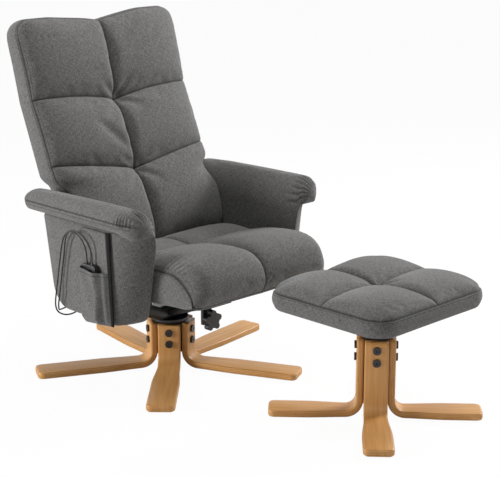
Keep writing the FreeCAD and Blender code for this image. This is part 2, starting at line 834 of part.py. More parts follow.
def seat_rails(beam):
    """Two channel rails on saddles that stand on the beam."""
    rails, saddles = [], []
    outer = RUNNER_OUTER + d.rail_play + d.rail_wall
    inner = d.runner_inner - d.rail_play - d.rail_wall
    rail_top = RUNNER_LOW + d.rail_lap
    bar = box(d.rail_rear, d.rail_front, inner, outer, RAIL_LOW, rail_top)
    groove = box(
        d.rail_rear - d.overrun,
        d.rail_front + d.overrun,
        d.runner_inner - d.rail_play,
        RUNNER_OUTER + d.rail_play,
        RUNNER_LOW - d.rail_play,
        rail_top + d.overrun,
    )
    rail = cut(bar, groove)
    saddle = cut(box(-d.saddle_half, d.saddle_half, inner, outer, BEAM_LOW, RAIL_LOW), beam)
    below = box(-d.saddle_half, d.saddle_half, inner, outer, BEAM_LOW, BEAM_TOP)
    saddle = cut(saddle, below)
    rails += [rail, mirrored_y(rail)]
    saddles += [saddle, mirrored_y(saddle)]
    named(group(rails), "glide_rails")
    named(group(saddles), "rail_saddles")


def arc_through(start, middle, stop):
    return Part.Arc(start, middle, stop).toShape()


def line_to(start, stop):
    return Part.LineSegment(start, stop).toShape()


def soft_feature(shape, label):
    item = doc.addObject("Part::Feature", "soft")
    item.Shape = shape
    item.Placement = FreeCAD.Placement()
    return named(item, label) if label else item


def quilted_half(section, half):
    """Lofts section wires from the centre channel to the side, then joins the mirror image."""
    wires = [section(half * place_share, crown_share) for place_share, crown_share in zip(PLACE_SHARES, CROWN_SHARES)]
    left = Part.makeLoft(wires, True, False)
    right = left.mirror(V(0, 0, 0), V(0, 1, 0))
    return left.fuse(right)


def back_outline(inset):
    """The back seen from the front: a neck between the arms, wide shoulders, round top corners and a dip."""
    half = d.back_half - inset
    neck = d.back_neck_half - inset
    top = d.back_top_z - inset
    corner = d.back_corner - inset
    low = d.back_foot_z + inset
    notch = d.back_notch_z + inset
    corners = [
        (-neck, low),
        (neck, low),
        (neck, notch),
        (half, notch),
        (half, top - corner),
        (half - corner, top),
        (d.back_dip_half, top),
        (ORIGIN, top - d.back_dip),
        (-d.back_dip_half, top),
        (corner - half, top),
        (-half, top - corner),
        (-half, notch),
        (-neck, notch),
    ]
    rounds = {
        4: ((half - corner, top - corner), corner, True),
        9: ((corner - half, top - corner), corner, True),
    }
    reach = (d.back_depth_low - d.back_top_x) * 4.0
    return padded_body("YZ_Plane", corners, reach, rounds)


def back_slab(front_depth, rear_depths, width):
    """A slab that follows the back's bent side line, between two depths behind its front seam."""
    nodes = ((d.back_foot_x, d.back_foot_z), (d.back_bend_x, d.back_bend_z), (d.back_top_x, d.back_top_z))
    front = [(x - front_depth, z) for x, z in nodes]
    rear = [(x - depth, z) for (x, z), depth in zip(nodes, rear_depths)]
    return padded_body("XZ_Plane", front + rear[::-1], width)


def back_section(y, crown_share):
    """One upright section of the back cushion: three puffed rows on the bent front line."""
    foot = V(d.back_foot_x.value, y, d.back_foot_z.value)
    bend = V(d.back_bend_x.value, y, d.back_bend_z.value)
    top = V(d.back_top_x.value, y, d.back_top_z.value)
    seam = foot + (bend - foot) * ((d.back_seam_z.value - foot.z) / (bend.z - foot.z))
    low_normal = V(bend.z - foot.z, 0, foot.x - bend.x).normalize()
    high_normal = V(top.z - bend.z, 0, bend.x - top.x).normalize()
    bend_normal = (low_normal + high_normal).normalize()
    edge = d.back_edge_rise.value
    rise = edge + (d.back_seam_rise.value - edge) * crown_share
    lumbar = edge + d.back_lumbar_crown.value * crown_share + edge
    crown = edge + d.back_crown.value * crown_share + edge
    ends = [foot + low_normal * edge, seam + low_normal * rise, bend + bend_normal * rise, top + high_normal * edge]
    middles = [
        (foot + seam) * HALF_SHARE + low_normal * lumbar,
        (seam + bend) * HALF_SHARE + low_normal * crown,
        (bend + top) * HALF_SHARE + high_normal * crown,
    ]
    edges = [arc_through(ends[i], middles[i], ends[i + 1]) for i in range(3)]
    loop = [ends[3], top, bend, foot, ends[0]]
    edges += [line_to(a, b) for a, b in zip(loop, loop[1:])]
    return Part.Wire(edges)


def back_rest():
    """Quilted cushion, upholstered shell with a board in it, cross tube, hinge plates and motors."""
    depths = (d.back_depth_low, d.back_depth_bend, d.back_depth_top)
    width = d.back_half * 2.0 + d.overrun
    outer = common(back_slab(ORIGIN, depths, width), back_outline(ORIGIN))
    inner_depths = [depth - d.back_wall for depth in depths]
    cavity = common(back_slab(-d.overrun, inner_depths, width), back_outline(d.back_wall))
    tube_half = d.hinge_plate_inner
    tube_tool = rod(d.cross_tube_radius, tube_half * 2.0, d.cross_tube_x, -tube_half, d.cross_tube_z, "Y")
    named(cut(cut(outer, cavity), tube_tool), "back_shell")
    board_depths = [d.back_board_depth for _ in depths]
    named(common(back_slab(ORIGIN, board_depths, width), back_outline(d.back_wall)), "back_board")
    tube = rod(d.cross_tube_radius, tube_half * 2.0, d.cross_tube_x, -tube_half, d.cross_tube_z, "Y")
    bore_radius = d.cross_tube_radius - d.cross_tube_wall
    bore = rod(bore_radius, tube_half * 3.0, d.cross_tube_x, -tube_half * 1.5, d.cross_tube_z, "Y")
    named(cut(tube, bore), "back_cross_tube")
    margin = d.hinge_plate_margin
    foot_z = d.pivot_z - d.link_drop
    plate_side = [
        (d.pivot_x - margin, foot_z - margin * HALF_SHARE),
        (d.pivot_x + margin, foot_z - margin * HALF_SHARE),
        (d.pivot_x + margin, d.pivot_z + margin),
        (d.cross_tube_x - margin, d.cross_tube_z + margin),
        (d.cross_tube_x - margin, d.cross_tube_z - margin),
    ]
    plate = padded_body("XZ_Plane", plate_side, d.hinge_plate_thick)
    round_edges(plate, margin * HALF_SHARE, lambda edge: runs_along(edge, 1))
    place(plate, y=d.hinge_plate_inner + d.hinge_plate_thick * HALF_SHARE)
    pivot_hole = rod(
        d.pivot_radius + d.running_gap, d.hinge_plate_inner, d.pivot_x, d.hinge_plate_inner * HALF_SHARE,
        d.pivot_z, "Y",
    )
    deep_hole = place(fuse([pivot_hole]), y=d.hinge_plate_inner * HALF_SHARE - d.overrun)
    pin_y = d.hinge_plate_inner - d.link_pin_length
    link_pin = rod(d.link_pin_radius, d.link_pin_length, d.pivot_x, pin_y, foot_z, "Y")
    hinge = fuse([cut(plate, deep_hole), link_pin])
    named(group([hinge, mirrored_y(hinge)]), "back_hinge_plates")
    soft = quilted_half(back_section, d.back_half.value)
    blank = soft_feature(soft, None)
    blank.Label = "back_cushion_blank"
    named(common(blank, back_outline(ORIGIN)), "back_cushion")
    motors = []
    for z_share in (0.36, 0.70):
        z = d.back_foot_z + (d.back_bend_z - d.back_foot_z) * z_share
        x = d.back_foot_x + (d.back_bend_x - d.back_foot_x) * z_share
        can = doc.addObject("Part::Cylinder", "motor")
        bind(can, "Radius", d.motor_radius)
        bind(can, "Height", d.motor_high)
        tilt = atan2(d.back_foot_x.value - d.back_bend_x.value, d.back_bend_z.value - d.back_foot_z.value)
        rear = V(-cos(tilt), 0, -sin(tilt))
        can.Placement.Rotation = FreeCAD.Rotation(V(0, 0, 1), rear)
        place(can, x - d.back_board_depth, d.motor_spread, z)
        motors += [can, mirrored_y(can)]
    named(group(motors), "back_motors")


def seat_section(y, crown_share):
    """One section of the seat cushion along the chair: rear panel, front panel and a waterfall nose."""
    away = max(0.0, y / d.seat_half.value - PLACE_SHARES[4]) / (1.0 - PLACE_SHARES[4])
    draw = d.seat_corner_draw.value * away * away
    crown = d.seat_crown.value * crown_share
    nose = d.seat_nose_crown.value * crown_share - draw
    rear_low = V(d.seat_rear.value, y, d.seat_low.value)
    rear_top = V(d.seat_rear.value, y, d.seat_rear_top.value)
    seam = V(d.seat_seam_x.value, y, d.seat_seam_z.value + crown * HALF_SHARE)
    crest = V(d.seat_crest_x.value - draw, y, d.seat_crest_z.value + crown)
    tip = V(d.seat_nose_x.value + nose, y, d.seat_nose_z.value)
    hem = V(d.seat_hem_x.value + nose, y, d.seat_low.value)
    rear_middle = (rear_top + seam) * HALF_SHARE + V(0, 0, crown + d.seat_nose_crown.value)
    front_middle = (seam + crest) * HALF_SHARE + V(0, 0, crown * HALF_SHARE + d.seat_nose_crown.value)
    shoulder = (crest + tip) * HALF_SHARE + V(d.seat_crown.value, 0, d.seat_crown.value) * HALF_SHARE
    under = (tip + hem) * HALF_SHARE + V(d.seat_nose_crown.value, 0, 0) * HALF_SHARE
    edges = [
        line_to(rear_low, rear_top),
        arc_through(rear_top, rear_middle, seam),
        arc_through(seam, front_middle, crest),
        arc_through(crest, shoulder, tip),
        arc_through(tip, under, hem),
        line_to(hem, rear_low),
    ]
    return Part.Wire(edges)


def seat():
    """Quilted cushion on rails and webbing, with runners, forks and motors under it."""
    blank = soft_feature(quilted_half(seat_section, d.seat_half.value), None)
    blank.Label = "seat_cushion_blank"
    cavity_top = d.seat_low + d.seat_cavity_high + d.webbing_thick
    rail_outer = d.seat_rail_inner + d.seat_rail_width
    fork_outer = d.fork_inner + d.fork_thick
    rear_rail = d.seat_rear + d.seat_rail_width
    cavity = box(
        rear_rail, d.seat_rail_front, -rail_outer, rail_outer, d.seat_low - d.overrun, cavity_top
    )
    rear_slot = box(
        d.seat_rear - d.overrun, rear_rail, -fork_outer, fork_outer, d.seat_low - d.overrun, cavity_top
    )
    named(cut(blank, fuse([cavity, rear_slot])), "seat_cushion")
    rail_top = d.seat_low + d.seat_cavity_high
    front_rail = d.seat_rail_front - d.seat_rail_width
    side = box(rear_rail, d.seat_rail_front, d.seat_rail_inner, rail_outer, d.seat_low, rail_top)
    named(group([side, mirrored_y(side)]), "seat_side_rails")
    rear = box(d.seat_rear, rear_rail, -fork_outer, fork_outer, d.seat_low, rail_top)
    front = box(front_rail, d.seat_rail_front, -d.seat_rail_inner, d.seat_rail_inner, d.seat_low, rail_top)
    middle_x = (rear_rail + front_rail) * HALF_SHARE
    middle = box(
        middle_x, middle_x + d.seat_rail_width, -d.seat_rail_inner, d.seat_rail_inner, d.seat_low, rail_top
    )
    named(group([rear, middle, front]), "seat_cross_rails")
    straps = []
    for share in (-0.66, -0.22, 0.22, 0.66):
        y = d.seat_rail_inner * share
        half = d.webbing_width * HALF_SHARE
        straps.append(box(d.seat_rear, d.seat_rail_front, y - half, y + half, rail_top, cavity_top))
    named(group(straps), "seat_webbing")
    runner = box(d.runner_rear, d.runner_front, d.runner_inner, RUNNER_OUTER, RUNNER_LOW, d.seat_low)
    named(group([runner, mirrored_y(runner)]), "seat_runners")
    foot_z = d.pivot_z - d.link_drop
    half_slot = d.link_pin_radius + d.fork_play
    blade = box(d.seat_rear - d.fork_back, d.seat_rear, d.fork_inner, fork_outer, d.fork_low, d.fork_top)
    slot = box(
        d.pivot_x - half_slot,
        d.pivot_x + half_slot,
        d.fork_inner - d.overrun,
        fork_outer + d.overrun,
        foot_z - half_slot,
        d.fork_top + d.overrun,
    )
    fork = cut(blade, slot)
    named(group([fork, mirrored_y(fork)]), "seat_forks")
    motors = []
    for share in (0.30, 0.72):
        x = d.seat_rear + (d.seat_rail_front - d.seat_rear) * share
        can = rod(d.motor_radius, d.motor_high, x, d.seat_rail_inner * 0.22, rail_top - d.motor_high)
        motors += [can, mirrored_y(can)]
    named(group(motors), "seat_motors")


def pouch():
    """A fabric pouch on the outer face of the right arm, with a pocket, and the black strip at its front edge."""
    face = -d.arm_outer
    back = face - d.pouch_back_thick
    front = back - d.pouch_deep
    slant = d.pouch_slant
    sheet_side = [
        (d.pouch_rear, d.pouch_low),
        (d.pouch_front + slant, d.pouch_low),
        (d.pouch_front, d.pouch_top),
        (d.pouch_rear, d.pouch_top),
    ]
    sheet = padded_body("XZ_Plane", sheet_side, d.pouch_back_thick)
    place(sheet, y=face - d.pouch_back_thick * HALF_SHARE)
    pocket_front = d.pouch_front
    outer = box(d.pouch_rear, pocket_front, front, back, d.pouch_low, d.pouch_mouth)
    inner = box(
        d.pouch_rear + d.pouch_wall,
        pocket_front - d.pouch_wall,
        front + d.pouch_wall,
        back,
        d.pouch_low + d.pouch_wall,
        d.pouch_mouth + d.overrun,
    )
    named(fuse([sheet, cut(outer, inner)]), "handset_pouch")
    strip_side = [
        (d.pouch_front + slant, d.pouch_low),
        (d.pouch_front + slant + d.strip_width, d.pouch_low),
        (d.pouch_front + d.strip_width, d.pouch_top),
        (d.pouch_front, d.pouch_top),
    ]
    strip = padded_body("XZ_Plane", strip_side, d.strip_thick)
    named(place(strip, y=face - d.strip_thick * HALF_SHARE), "pouch_strip")
    return back


def handset(back):
    """A two-part handset in the pocket, with four push buttons and a strain relief for each lead."""
    rear = d.handset_rear
    front = rear + d.handset_wide
    inside = back - d.handset_gap
    outside = inside - d.handset_deep
    split = inside - d.handset_deep * HALF_SHARE
    top = d.handset_low + d.handset_high
    corners = [(rear, d.handset_low), (front, d.handset_low), (front, top), (rear, top)]

    def shell(y0, y1):
        body = padded_body("XZ_Plane", corners, sized(y1) - y0)
        round_edges(body, d.handset_corner, lambda edge: runs_along(edge, 1))
        return place(body, y=(sized(y0) + y1) * HALF_SHARE)

    wall = d.handset_wall
    hollow = box(rear + wall, front - wall, outside + wall, inside - wall, d.handset_low + wall, top - wall)
    middle = (rear + front) * HALF_SHARE
    first = d.handset_low + d.handset_high * HALF_SHARE + d.button_pitch * 1.5
    holes = []
    skirt_radius = d.button_radius + d.button_skirt
    for i, name in enumerate(BUTTON_NAMES):
        z = first - d.button_pitch * i
        hole = rod(d.button_radius + d.button_play, wall * 3.0, middle, outside - wall, z, "Y")
        holes.append(hole)
        cap = rod(d.button_radius, d.button_proud + wall, middle, outside - d.button_proud, z, "Y")
        skirt = rod(skirt_radius, wall, middle, outside + wall, z, "Y")
        named(fuse([cap, skirt]), f"button_{name}")
    case = cut(shell(split, inside), hollow)
    hollow_again = box(rear + wall, front - wall, outside + wall, inside - wall, d.handset_low + wall, top - wall)
    cover = cut(shell(outside, split), fuse([hollow_again] + holes))
    named(case, "handset_case")
    named(cover, "handset_cover")
    reliefs = []
    for route in LEAD_ROUTES.values():
        x, y, z = route[0]
        cone = doc.addObject("Part::Cone", "relief")
        bind(cone, "Radius1", d.relief_radius)
        bind(cone, "Radius2", d.lead_diameter * HALF_SHARE)
        bind(cone, "Height", d.relief_high)
        cone.Placement.Base = V(x, y, top.value)
        bind(cone, ".Placement.Base.z", top)
        reliefs.append(cone)
    named(group(reliefs), "lead_reliefs")


def cord_wire(points):
    """Straight runs joined by tangent arcs, each as large as its two runs allow; prints the radii."""
    edges, radii = [], []
    start = points[0]
    for before, corner, after in zip(points, points[1:], points[2:]):
        arriving = (corner - before).normalize()
        leaving = (after - corner).normalize()
        half_turn = arriving.getAngle(leaving) * HALF_SHARE
        trim = 0.45 * min((corner - before).Length, (after - corner).Length)
        radii.append(trim / tan(half_turn))
        first = corner - arriving * trim
        last = corner + leaving * trim
        inward = (leaving - arriving).normalize()
        reach = radii[-1] / cos(half_turn) - radii[-1]
        edges += [line_to(start, first), arc_through(first, corner + inward * reach, last)]
        start = last
    edges.append(line_to(start, points[-1]))
    print("cord radii", [round(radius) for radius in radii])
    return Part.Wire(edges)


def leads():
    """The two leads of the handset, each one round tube along its route."""
    radius = d.lead_diameter.value * HALF_SHARE
    for name, route in LEAD_ROUTES.items():
        points = [V(*point) for point in route]
        path = cord_wire(points)
        circle = Part.Circle(points[0], points[1] - points[0], radius).toShape()
        tube = path.makePipeShell([Part.Wire([circle])], True, False)
        ideal = pi * radius**2 * path.Length
        print(name, "length", round(path.Length), "volume share", round(tube.Volume / ideal, 4))
        soft_feature(tube, name)


def junction_box():
    """The box behind the right arm that both leads run into, with the round power inlet."""
    low = d.box_low
    shell = box(d.box_rear, d.box_front, -d.box_outer, -d.box_inner, low, low + d.box_high)
    rounded = doc.addObject("Part::Fillet", "rounded")
    rounded.Base = shell
    doc.recompute()
    upright = [i for i, edge in enumerate(shell.Shape.Edges, start=1) if runs_along(edge, 2)]
    corner = min(d.box_corner.value, d.box_high.value * HALF_SHARE)
    rounded.Edges = [(i, corner, corner) for i in upright]
    inlet_z = low + d.box_high * HALF_SHARE
    inlet_y = -(d.box_outer + d.box_inner) * HALF_SHARE
    inlet = rod(d.inlet_radius, d.inlet_deep + d.overrun, d.box_rear - d.overrun, inlet_y, inlet_z, "X")
    bracket = box(d.box_rear * 0.8, d.box_front * 1.3, -d.arm_inner, -d.box_outer, low, low + d.box_high)
    sockets = []
    for route in LEAD_ROUTES.values():
        x, y, z = route[-1]
        sockets.append(rod(d.relief_radius, d.box_low - z, sized(x), sized(y), sized(z)))
    named(fuse([cut(rounded, inlet), bracket] + sockets), "junction_box")


def stool_section(y, crown_share):
    """One section of the footstool cushion: boxing, and two puffed panels about the centre channel."""
    half = d.stool_half_deep.value + d.blank_margin.value
    seam = d.stool_seam_z.value
    low = d.stool_cushion_low.value
    valley = d.stool_tuft.value + d.stool_valley.value * crown_share
    crown = d.stool_tuft.value + d.stool_crown.value * crown_share + d.stool_valley.value * (1 - crown_share) * 0.5
    nodes = [V(half, y, low), V(half, y, seam), V(0, y, seam + valley), V(-half, y, seam), V(-half, y, low)]
    front_middle = V(half * 0.55, y, seam + crown)
    rear_middle = V(-half * 0.55, y, seam + crown)
    edges = [
        line_to(nodes[0], nodes[1]),
        arc_through(nodes[1], front_middle, nodes[2]),
        arc_through(nodes[2], rear_middle, nodes[3]),
        line_to(nodes[3], nodes[4]),
        line_to(nodes[4], nodes[0]),
    ]
    return Part.Wire(edges)


def footstool():
    leg = leg_sizes("stool")
    x, y = d.stool_x, d.stool_y
    turns = [d.stool_turn + 360.0 / STOOL_LEGS * i for i in range(STOOL_LEGS)]
    for i, turn in enumerate(turns, start=1):
        named(place(bent_leg(leg), x, y, turn=turn), f"stool_leg_{i}")
    board_low = d.stool_cushion_low - d.stool_board_thick
    plate_low = board_low - d.stool_plate_thick
    inradius = leg.plate_face - d.leg_thick
    column = regular_prism(STOOL_LEGS, inradius, d.hub_low, plate_low, d.stool_turn)
    bore_low = d.hub_low - d.overrun
    bore = regular_prism(STOOL_LEGS, inradius - d.stool_post_wall, bore_low, plate_low, d.stool_turn)
    half = d.stool_plate_half
    plate = box(-half, half, -half, half, plate_low, board_low)
    post = cut(fuse([cut(column, bore), plate]), bolt_tools(leg, turns))
    named(place(post, x, y), "stool_post")
    named(leg_bolts(leg, x, y, turns), "stool_bolts")
    named(glides(leg, x, y, turns), "stool_glides")
    deep = d.stool_half_deep - d.stool_board_inset
    wide = d.stool_half_wide - d.stool_board_inset
    board = box(-deep, deep, -wide, wide, board_low, d.stool_cushion_low)
    named(place(fuse([board]), x, y), "stool_board")
    blank = soft_feature(quilted_half(stool_section, d.stool_half_wide.value + d.blank_margin.value), None)
    blank.Label = "stool_cushion_blank"
    corner = d.stool_corner
    inner_x = d.stool_half_deep - corner
    inner_y = d.stool_half_wide - corner
    plan = [
        (-inner_x, -d.stool_half_wide),
        (inner_x, -d.stool_half_wide),
        (d.stool_half_deep, -inner_y),
        (d.stool_half_deep, inner_y),
        (inner_x, d.stool_half_wide),
        (-inner_x, d.stool_half_wide),
        (-d.stool_half_deep, inner_y),
        (-d.stool_half_deep, -inner_y),
    ]
    rounds = {
        1: ((inner_x, -inner_y), corner, True),
        3: ((inner_x, inner_y), corner, True),
        5: ((-inner_x, inner_y), corner, True),
        7: ((-inner_x, -inner_y), corner, True),
    }
    outline = padded_body("XY_Plane", plan, d.stool_seam_z * 3.0, rounds)
    named(place(common(blank, outline), x, y), "stool_cushion")


def write_parts():
    """Checks every object and writes each sub-part to its own file."""
    doc.recompute()
    for item in doc.Objects:
        if "Invalid" in item.State or "Error" in item.State:
            raise RuntimeError(f"{item.Label} failed: {item.State}")
    os.makedirs("parts", exist_ok=True)
    for item in finished:
        shape = item.Shape
        if shape.isNull() or not shape.isValid() or not shape.Solids:
            raise RuntimeError(f"{item.Label} has no valid solid")
        shape.exportStep(f"parts/{item.Label}.step")
        print(item.Label, len(shape.Solids), "solids", round(shape.Volume / 1000), "cm3")
    print(len(finished), "sub-parts")


star_base()
flange_half, flange_low = carrier()
bolt_holes = arms(flange_half, flange_low)
blank_beam = cut_beam_holes(bolt_holes)
seat_rails(blank_beam)
knob_and_bracket()
back_rest()
seat()
pouch_back = pouch()
handset(pouch_back)
leads()
junction_box()
footstool()
write_parts()
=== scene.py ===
# %% [markdown]
# # A swivel recliner and its footstool
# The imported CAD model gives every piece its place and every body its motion. This lesson dresses that frame:
# sewn covers over foam, bent plywood legs, black steel, and the two thin leads of a handset. All lengths are
# metres, +X is the way the seat faces, +Y is the sitter's left and the floor is at zero.

# %% Load the frame
import json
from math import cos, pi, radians, sin

import bmesh
import bpy
import numpy as np
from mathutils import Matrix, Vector
from mathutils.bvhtree import BVHTree


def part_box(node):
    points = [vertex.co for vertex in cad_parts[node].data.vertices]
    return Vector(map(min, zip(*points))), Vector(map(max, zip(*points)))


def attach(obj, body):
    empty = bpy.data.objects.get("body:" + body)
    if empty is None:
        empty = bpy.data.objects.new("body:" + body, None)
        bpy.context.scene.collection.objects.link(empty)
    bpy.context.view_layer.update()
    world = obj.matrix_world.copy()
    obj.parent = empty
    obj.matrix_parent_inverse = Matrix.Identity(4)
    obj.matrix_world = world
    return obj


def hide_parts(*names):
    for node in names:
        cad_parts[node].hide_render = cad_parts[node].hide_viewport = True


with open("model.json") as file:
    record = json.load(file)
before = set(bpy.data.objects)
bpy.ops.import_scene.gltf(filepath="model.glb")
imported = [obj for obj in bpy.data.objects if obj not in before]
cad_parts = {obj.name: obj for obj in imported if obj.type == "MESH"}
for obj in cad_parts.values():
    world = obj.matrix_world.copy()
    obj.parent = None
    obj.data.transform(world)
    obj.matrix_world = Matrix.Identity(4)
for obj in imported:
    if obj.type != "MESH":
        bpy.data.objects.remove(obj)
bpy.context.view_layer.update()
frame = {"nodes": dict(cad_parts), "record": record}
scene = bpy.context.scene


def in_scene(name, data):
    """A new object with this data, linked to the scene."""
    made = bpy.data.objects.new(name, data)
    scene.collection.objects.link(made)
    return made


def evaluated(piece):
    """The object as it is after its modifiers."""
    return piece.evaluated_get(bpy.context.evaluated_depsgraph_get())


# %% [markdown]
# ## Camera
# The camera was fitted to right angles that the picture shows. It stands in front of the chair, to the sitter's
# right, and looks a little down. Its long lens keeps the near footstool from looking too large.

# %% Camera
camera_data = bpy.data.cameras.new("picture_camera")
camera_data.sensor_width = 36.0
camera_data.lens = 97.4
camera = in_scene("picture_camera", camera_data)
camera.location = (2.795, -2.444, 1.362)
camera.rotation_euler = Vector((-0.687, 0.680, -0.258)).to_track_quat("-Z", "Y").to_euler()
scene.camera = camera
print("camera at", tuple(round(c, 3) for c in camera.location))

# %% [markdown]
# ## Leads of the handset
# Two thin leads leave the handset in its pouch, arch over, hang down the outside of the arm and go under it to
# a small box. A lead is a fixed length of something limp, so each is one smooth spline whose control points are
# the points of its CAD route, here in millimetres. The radius at each knot sets the round section, so the
# bevel's own depth stays at one.

# %% Leads of the handset
LEAD_ROUTES = {
    "handset_lead_long": [
        (82, -358, 398), (82, -358, 416), (78, -360, 434), (68, -361, 449), (53, -361, 459), (36, -361, 464),
        (18, -360, 464), (2, -360, 457), (-11, -360, 444), (-20, -360, 425), (-27, -360, 399), (-33, -360, 372),
        (-39.5, -360, 344), (-45.5, -360, 316), (-52, -360, 288), (-57.5, -360, 262), (-61, -359, 243),
        (-60, -356, 227), (-54, -348, 217), (-46, -334, 212), (-44, -316, 212), (-50, -298, 212.3),
        (-59, -281, 212.6), (-68, -264, 212.2), (-75.1, -249.9, 211.5), (-79.5, -241.7, 215), (-82, -237, 222.6),
        (-82, -237, 233),
    ],
    "handset_lead_short": [
        (104, -358, 398), (104, -358, 415), (101, -361, 433), (92, -364, 450), (78, -367, 463), (60, -368, 470),
        (41, -368, 471), (23, -367, 466), (8, -365, 455), (-2, -363, 437), (-9, -361, 412), (-15, -360, 385),
        (-21.5, -360, 357), (-27.5, -360, 329), (-34, -360, 300), (-41, -359, 273), (-49, -357, 250),
        (-59, -350, 232), (-72, -339, 222), (-84, -324, 217), (-94, -307, 214.5), (-101, -288, 213),
        (-105, -269, 212.5), (-106, -251.6, 212.5), (-106, -242.4, 217), (-106, -237, 225.6), (-106, -237, 234),
    ],
}
LEAD_DIAMETER = 0.004
leads = {}


def add_spline(curve, kind, places):
    """A spline with these places as its control points."""
    spline = curve.splines.new(kind)
    spline.points.add(len(places) - 1)
    for knot, place in zip(spline.points, places):
        knot.co = (*place, 1.0)
    return spline


for node_name, route in LEAD_ROUTES.items():
    curve = bpy.data.curves.new(node_name + "_sheath", "CURVE")
    curve.dimensions = "3D"
    spline = add_spline(curve, "NURBS", [[c / 1000 for c in place] for place in route])
    for knot in spline.points:
        knot.radius = LEAD_DIAMETER / 2
    spline.order_u = 3
    spline.use_endpoint_u = True
    spline.resolution_u = 6
    curve.bevel_depth = 1.0
    curve.bevel_resolution = 4
    sheath = in_scene(node_name + "_sheath", curve)
    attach(sheath, "chair_body")
    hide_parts(node_name)
    leads[node_name] = sheath
print("leads", list(leads))

# %% [markdown]
# ## Node groups for effects that finishes share
# Cloth, wood, steel and plastic all need small irregularities. Each effect is built once as a shader node group
# with named sockets and is placed in every finish that wants it, with its own values.


# %% Node helpers
def new_group(name, inputs, outputs):
    """An empty shader group with the named sockets, and its input and output nodes."""
    tree = bpy.data.node_groups.new(name, "ShaderNodeTree")
    for label, kind, value in inputs:
        socket = tree.interface.new_socket(label, in_out="INPUT", socket_type="NodeSocket" + kind)
        socket.default_value = value
    for label, kind in outputs:
        tree.interface.new_socket(label, in_out="OUTPUT", socket_type="NodeSocket" + kind)
    return tree, tree.nodes.new("NodeGroupInput"), tree.nodes.new("NodeGroupOutput")


def feed(tree, made, links):
    """Links a node's inputs to other nodes' sockets, or sets them to plain values."""
    for name, value in links.items():
        if isinstance(value, bpy.types.NodeSocket):
            tree.links.new(value, made.inputs[name])
        else:
            made.inputs[name].default_value = value
    return made


def node(tree, kind, links=None, **settings):
    """A node with some settings; links maps an input to another node's socket or to a plain value."""
    made = tree.nodes.new("ShaderNode" + kind)
    for name, value in settings.items():
        setattr(made, name, value)
    return feed(tree, made, links or {})


def math_node(tree, operation, first, second=0.0):
    return node(tree, "Math", {0: first, 1: second}, operation=operation).outputs[0]


def mix_colour(tree, share, first, second):
    return node(tree, "Mix", {"Factor": share, 6: first, 7: second}, data_type="RGBA").outputs[2]


print("node helpers ready")


# %% Heathered yarn
def make_heather():
    """Crossing streaks of light and dark yarn, from a map in metres, with painted shade darkening it along seams; also
    a height for the threads.
    """
    tree, given, out = new_group(
        "heathered_yarn",
        [("Map", "Vector", (0, 0, 0)), ("Dark", "Color", (0, 0, 0, 1)), ("Light", "Color", (1, 1, 1, 1)),
         ("Threads", "Float", 700.0), ("Seam", "Float", 0.0)],
        [("Color", "Color"), ("Height", "Float")],
    )
    threads = given.outputs["Threads"]
    streaks = []
    for stretch in ((1.0, 0.16, 1.0), (0.16, 1.0, 1.0)):
        turned = node(tree, "VectorMath", {0: given.outputs["Map"], 1: stretch}, operation="MULTIPLY").outputs[0]
        streak = node(tree, "TexNoise", {"Vector": turned, "Scale": threads, "Detail": 2.0, "Roughness": 0.6})
        streaks.append(streak.outputs["Fac"])
    crossed = math_node(tree, "ADD", streaks[0], streaks[1])
    cloud = node(tree, "TexNoise", {"Vector": given.outputs["Map"], "Scale": 30.0, "Detail": 3.0}).outputs["Fac"]
    yarn = math_node(tree, "ADD", math_node(tree, "MULTIPLY", crossed, 1.45), math_node(tree, "MULTIPLY", cloud, 0.24))
    share = node(tree, "MapRange", {"Value": yarn, "From Min": 1.12, "From Max": 2.02}).outputs["Result"]
    woven = mix_colour(tree, share, given.outputs["Dark"], given.outputs["Light"])
    # Painted shade: the seam value mixes the yarn colour towards near-black along the seams.
    painted_seam_shade = math_node(tree, "MULTIPLY", math_node(tree, "POWER", given.outputs["Seam"], 2.0), 0.9)
    tree.links.new(mix_colour(tree, painted_seam_shade, woven, (0.006, 0.006, 0.006, 1)), out.inputs["Color"])
    ribs = []
    for axis in ((1, 0, 0), (0, 1, 0)):
        along = node(tree, "VectorMath", {0: given.outputs["Map"], 1: axis}, operation="DOT_PRODUCT").outputs["Value"]
        turns = math_node(tree, "MULTIPLY", along, math_node(tree, "MULTIPLY", threads, 2 * pi))
        ribs.append(math_node(tree, "SINE", turns))
    weave = math_node(tree, "MULTIPLY", ribs[0], ribs[1])
    height = math_node(tree, "ADD", math_node(tree, "MULTIPLY", weave, 0.5), crossed)
    tree.links.new(height, out.inputs["Height"])
    return tree


HEATHER = make_heather()
print("group", HEATHER.name)


# %% Fine grain
def make_fine_grain():
    """Mould or paint grain: a small height, and a slow drift for roughness."""
    tree, given, out = new_group(
        "fine_grain",
        [("Scale", "Float", 900.0), ("Low", "Float", 0.3), ("High", "Float", 0.5)],
        [("Roughness", "Float"), ("Height", "Float")],
    )
    place = node(tree, "TexCoord").outputs["Object"]
    grain = node(tree, "TexNoise", {"Vector": place, "Scale": given.outputs["Scale"], "Detail": 2.0})
    drift = node(tree, "TexNoise", {"Vector": place, "Scale": 14.0, "Detail": 5.0, "Roughness": 0.7})
    rough = node(tree, "MapRange", {"Value": drift.outputs["Fac"], "From Min": 0.3, "From Max": 0.7,
                                    "To Min": given.outputs["Low"], "To Max": given.outputs["High"]})
    tree.links.new(rough.outputs["Result"], out.inputs["Roughness"])
    tree.links.new(grain.outputs["Fac"], out.inputs["Height"])
    return tree


FINE_GRAIN = make_fine_grain()
print("group", FINE_GRAIN.name)
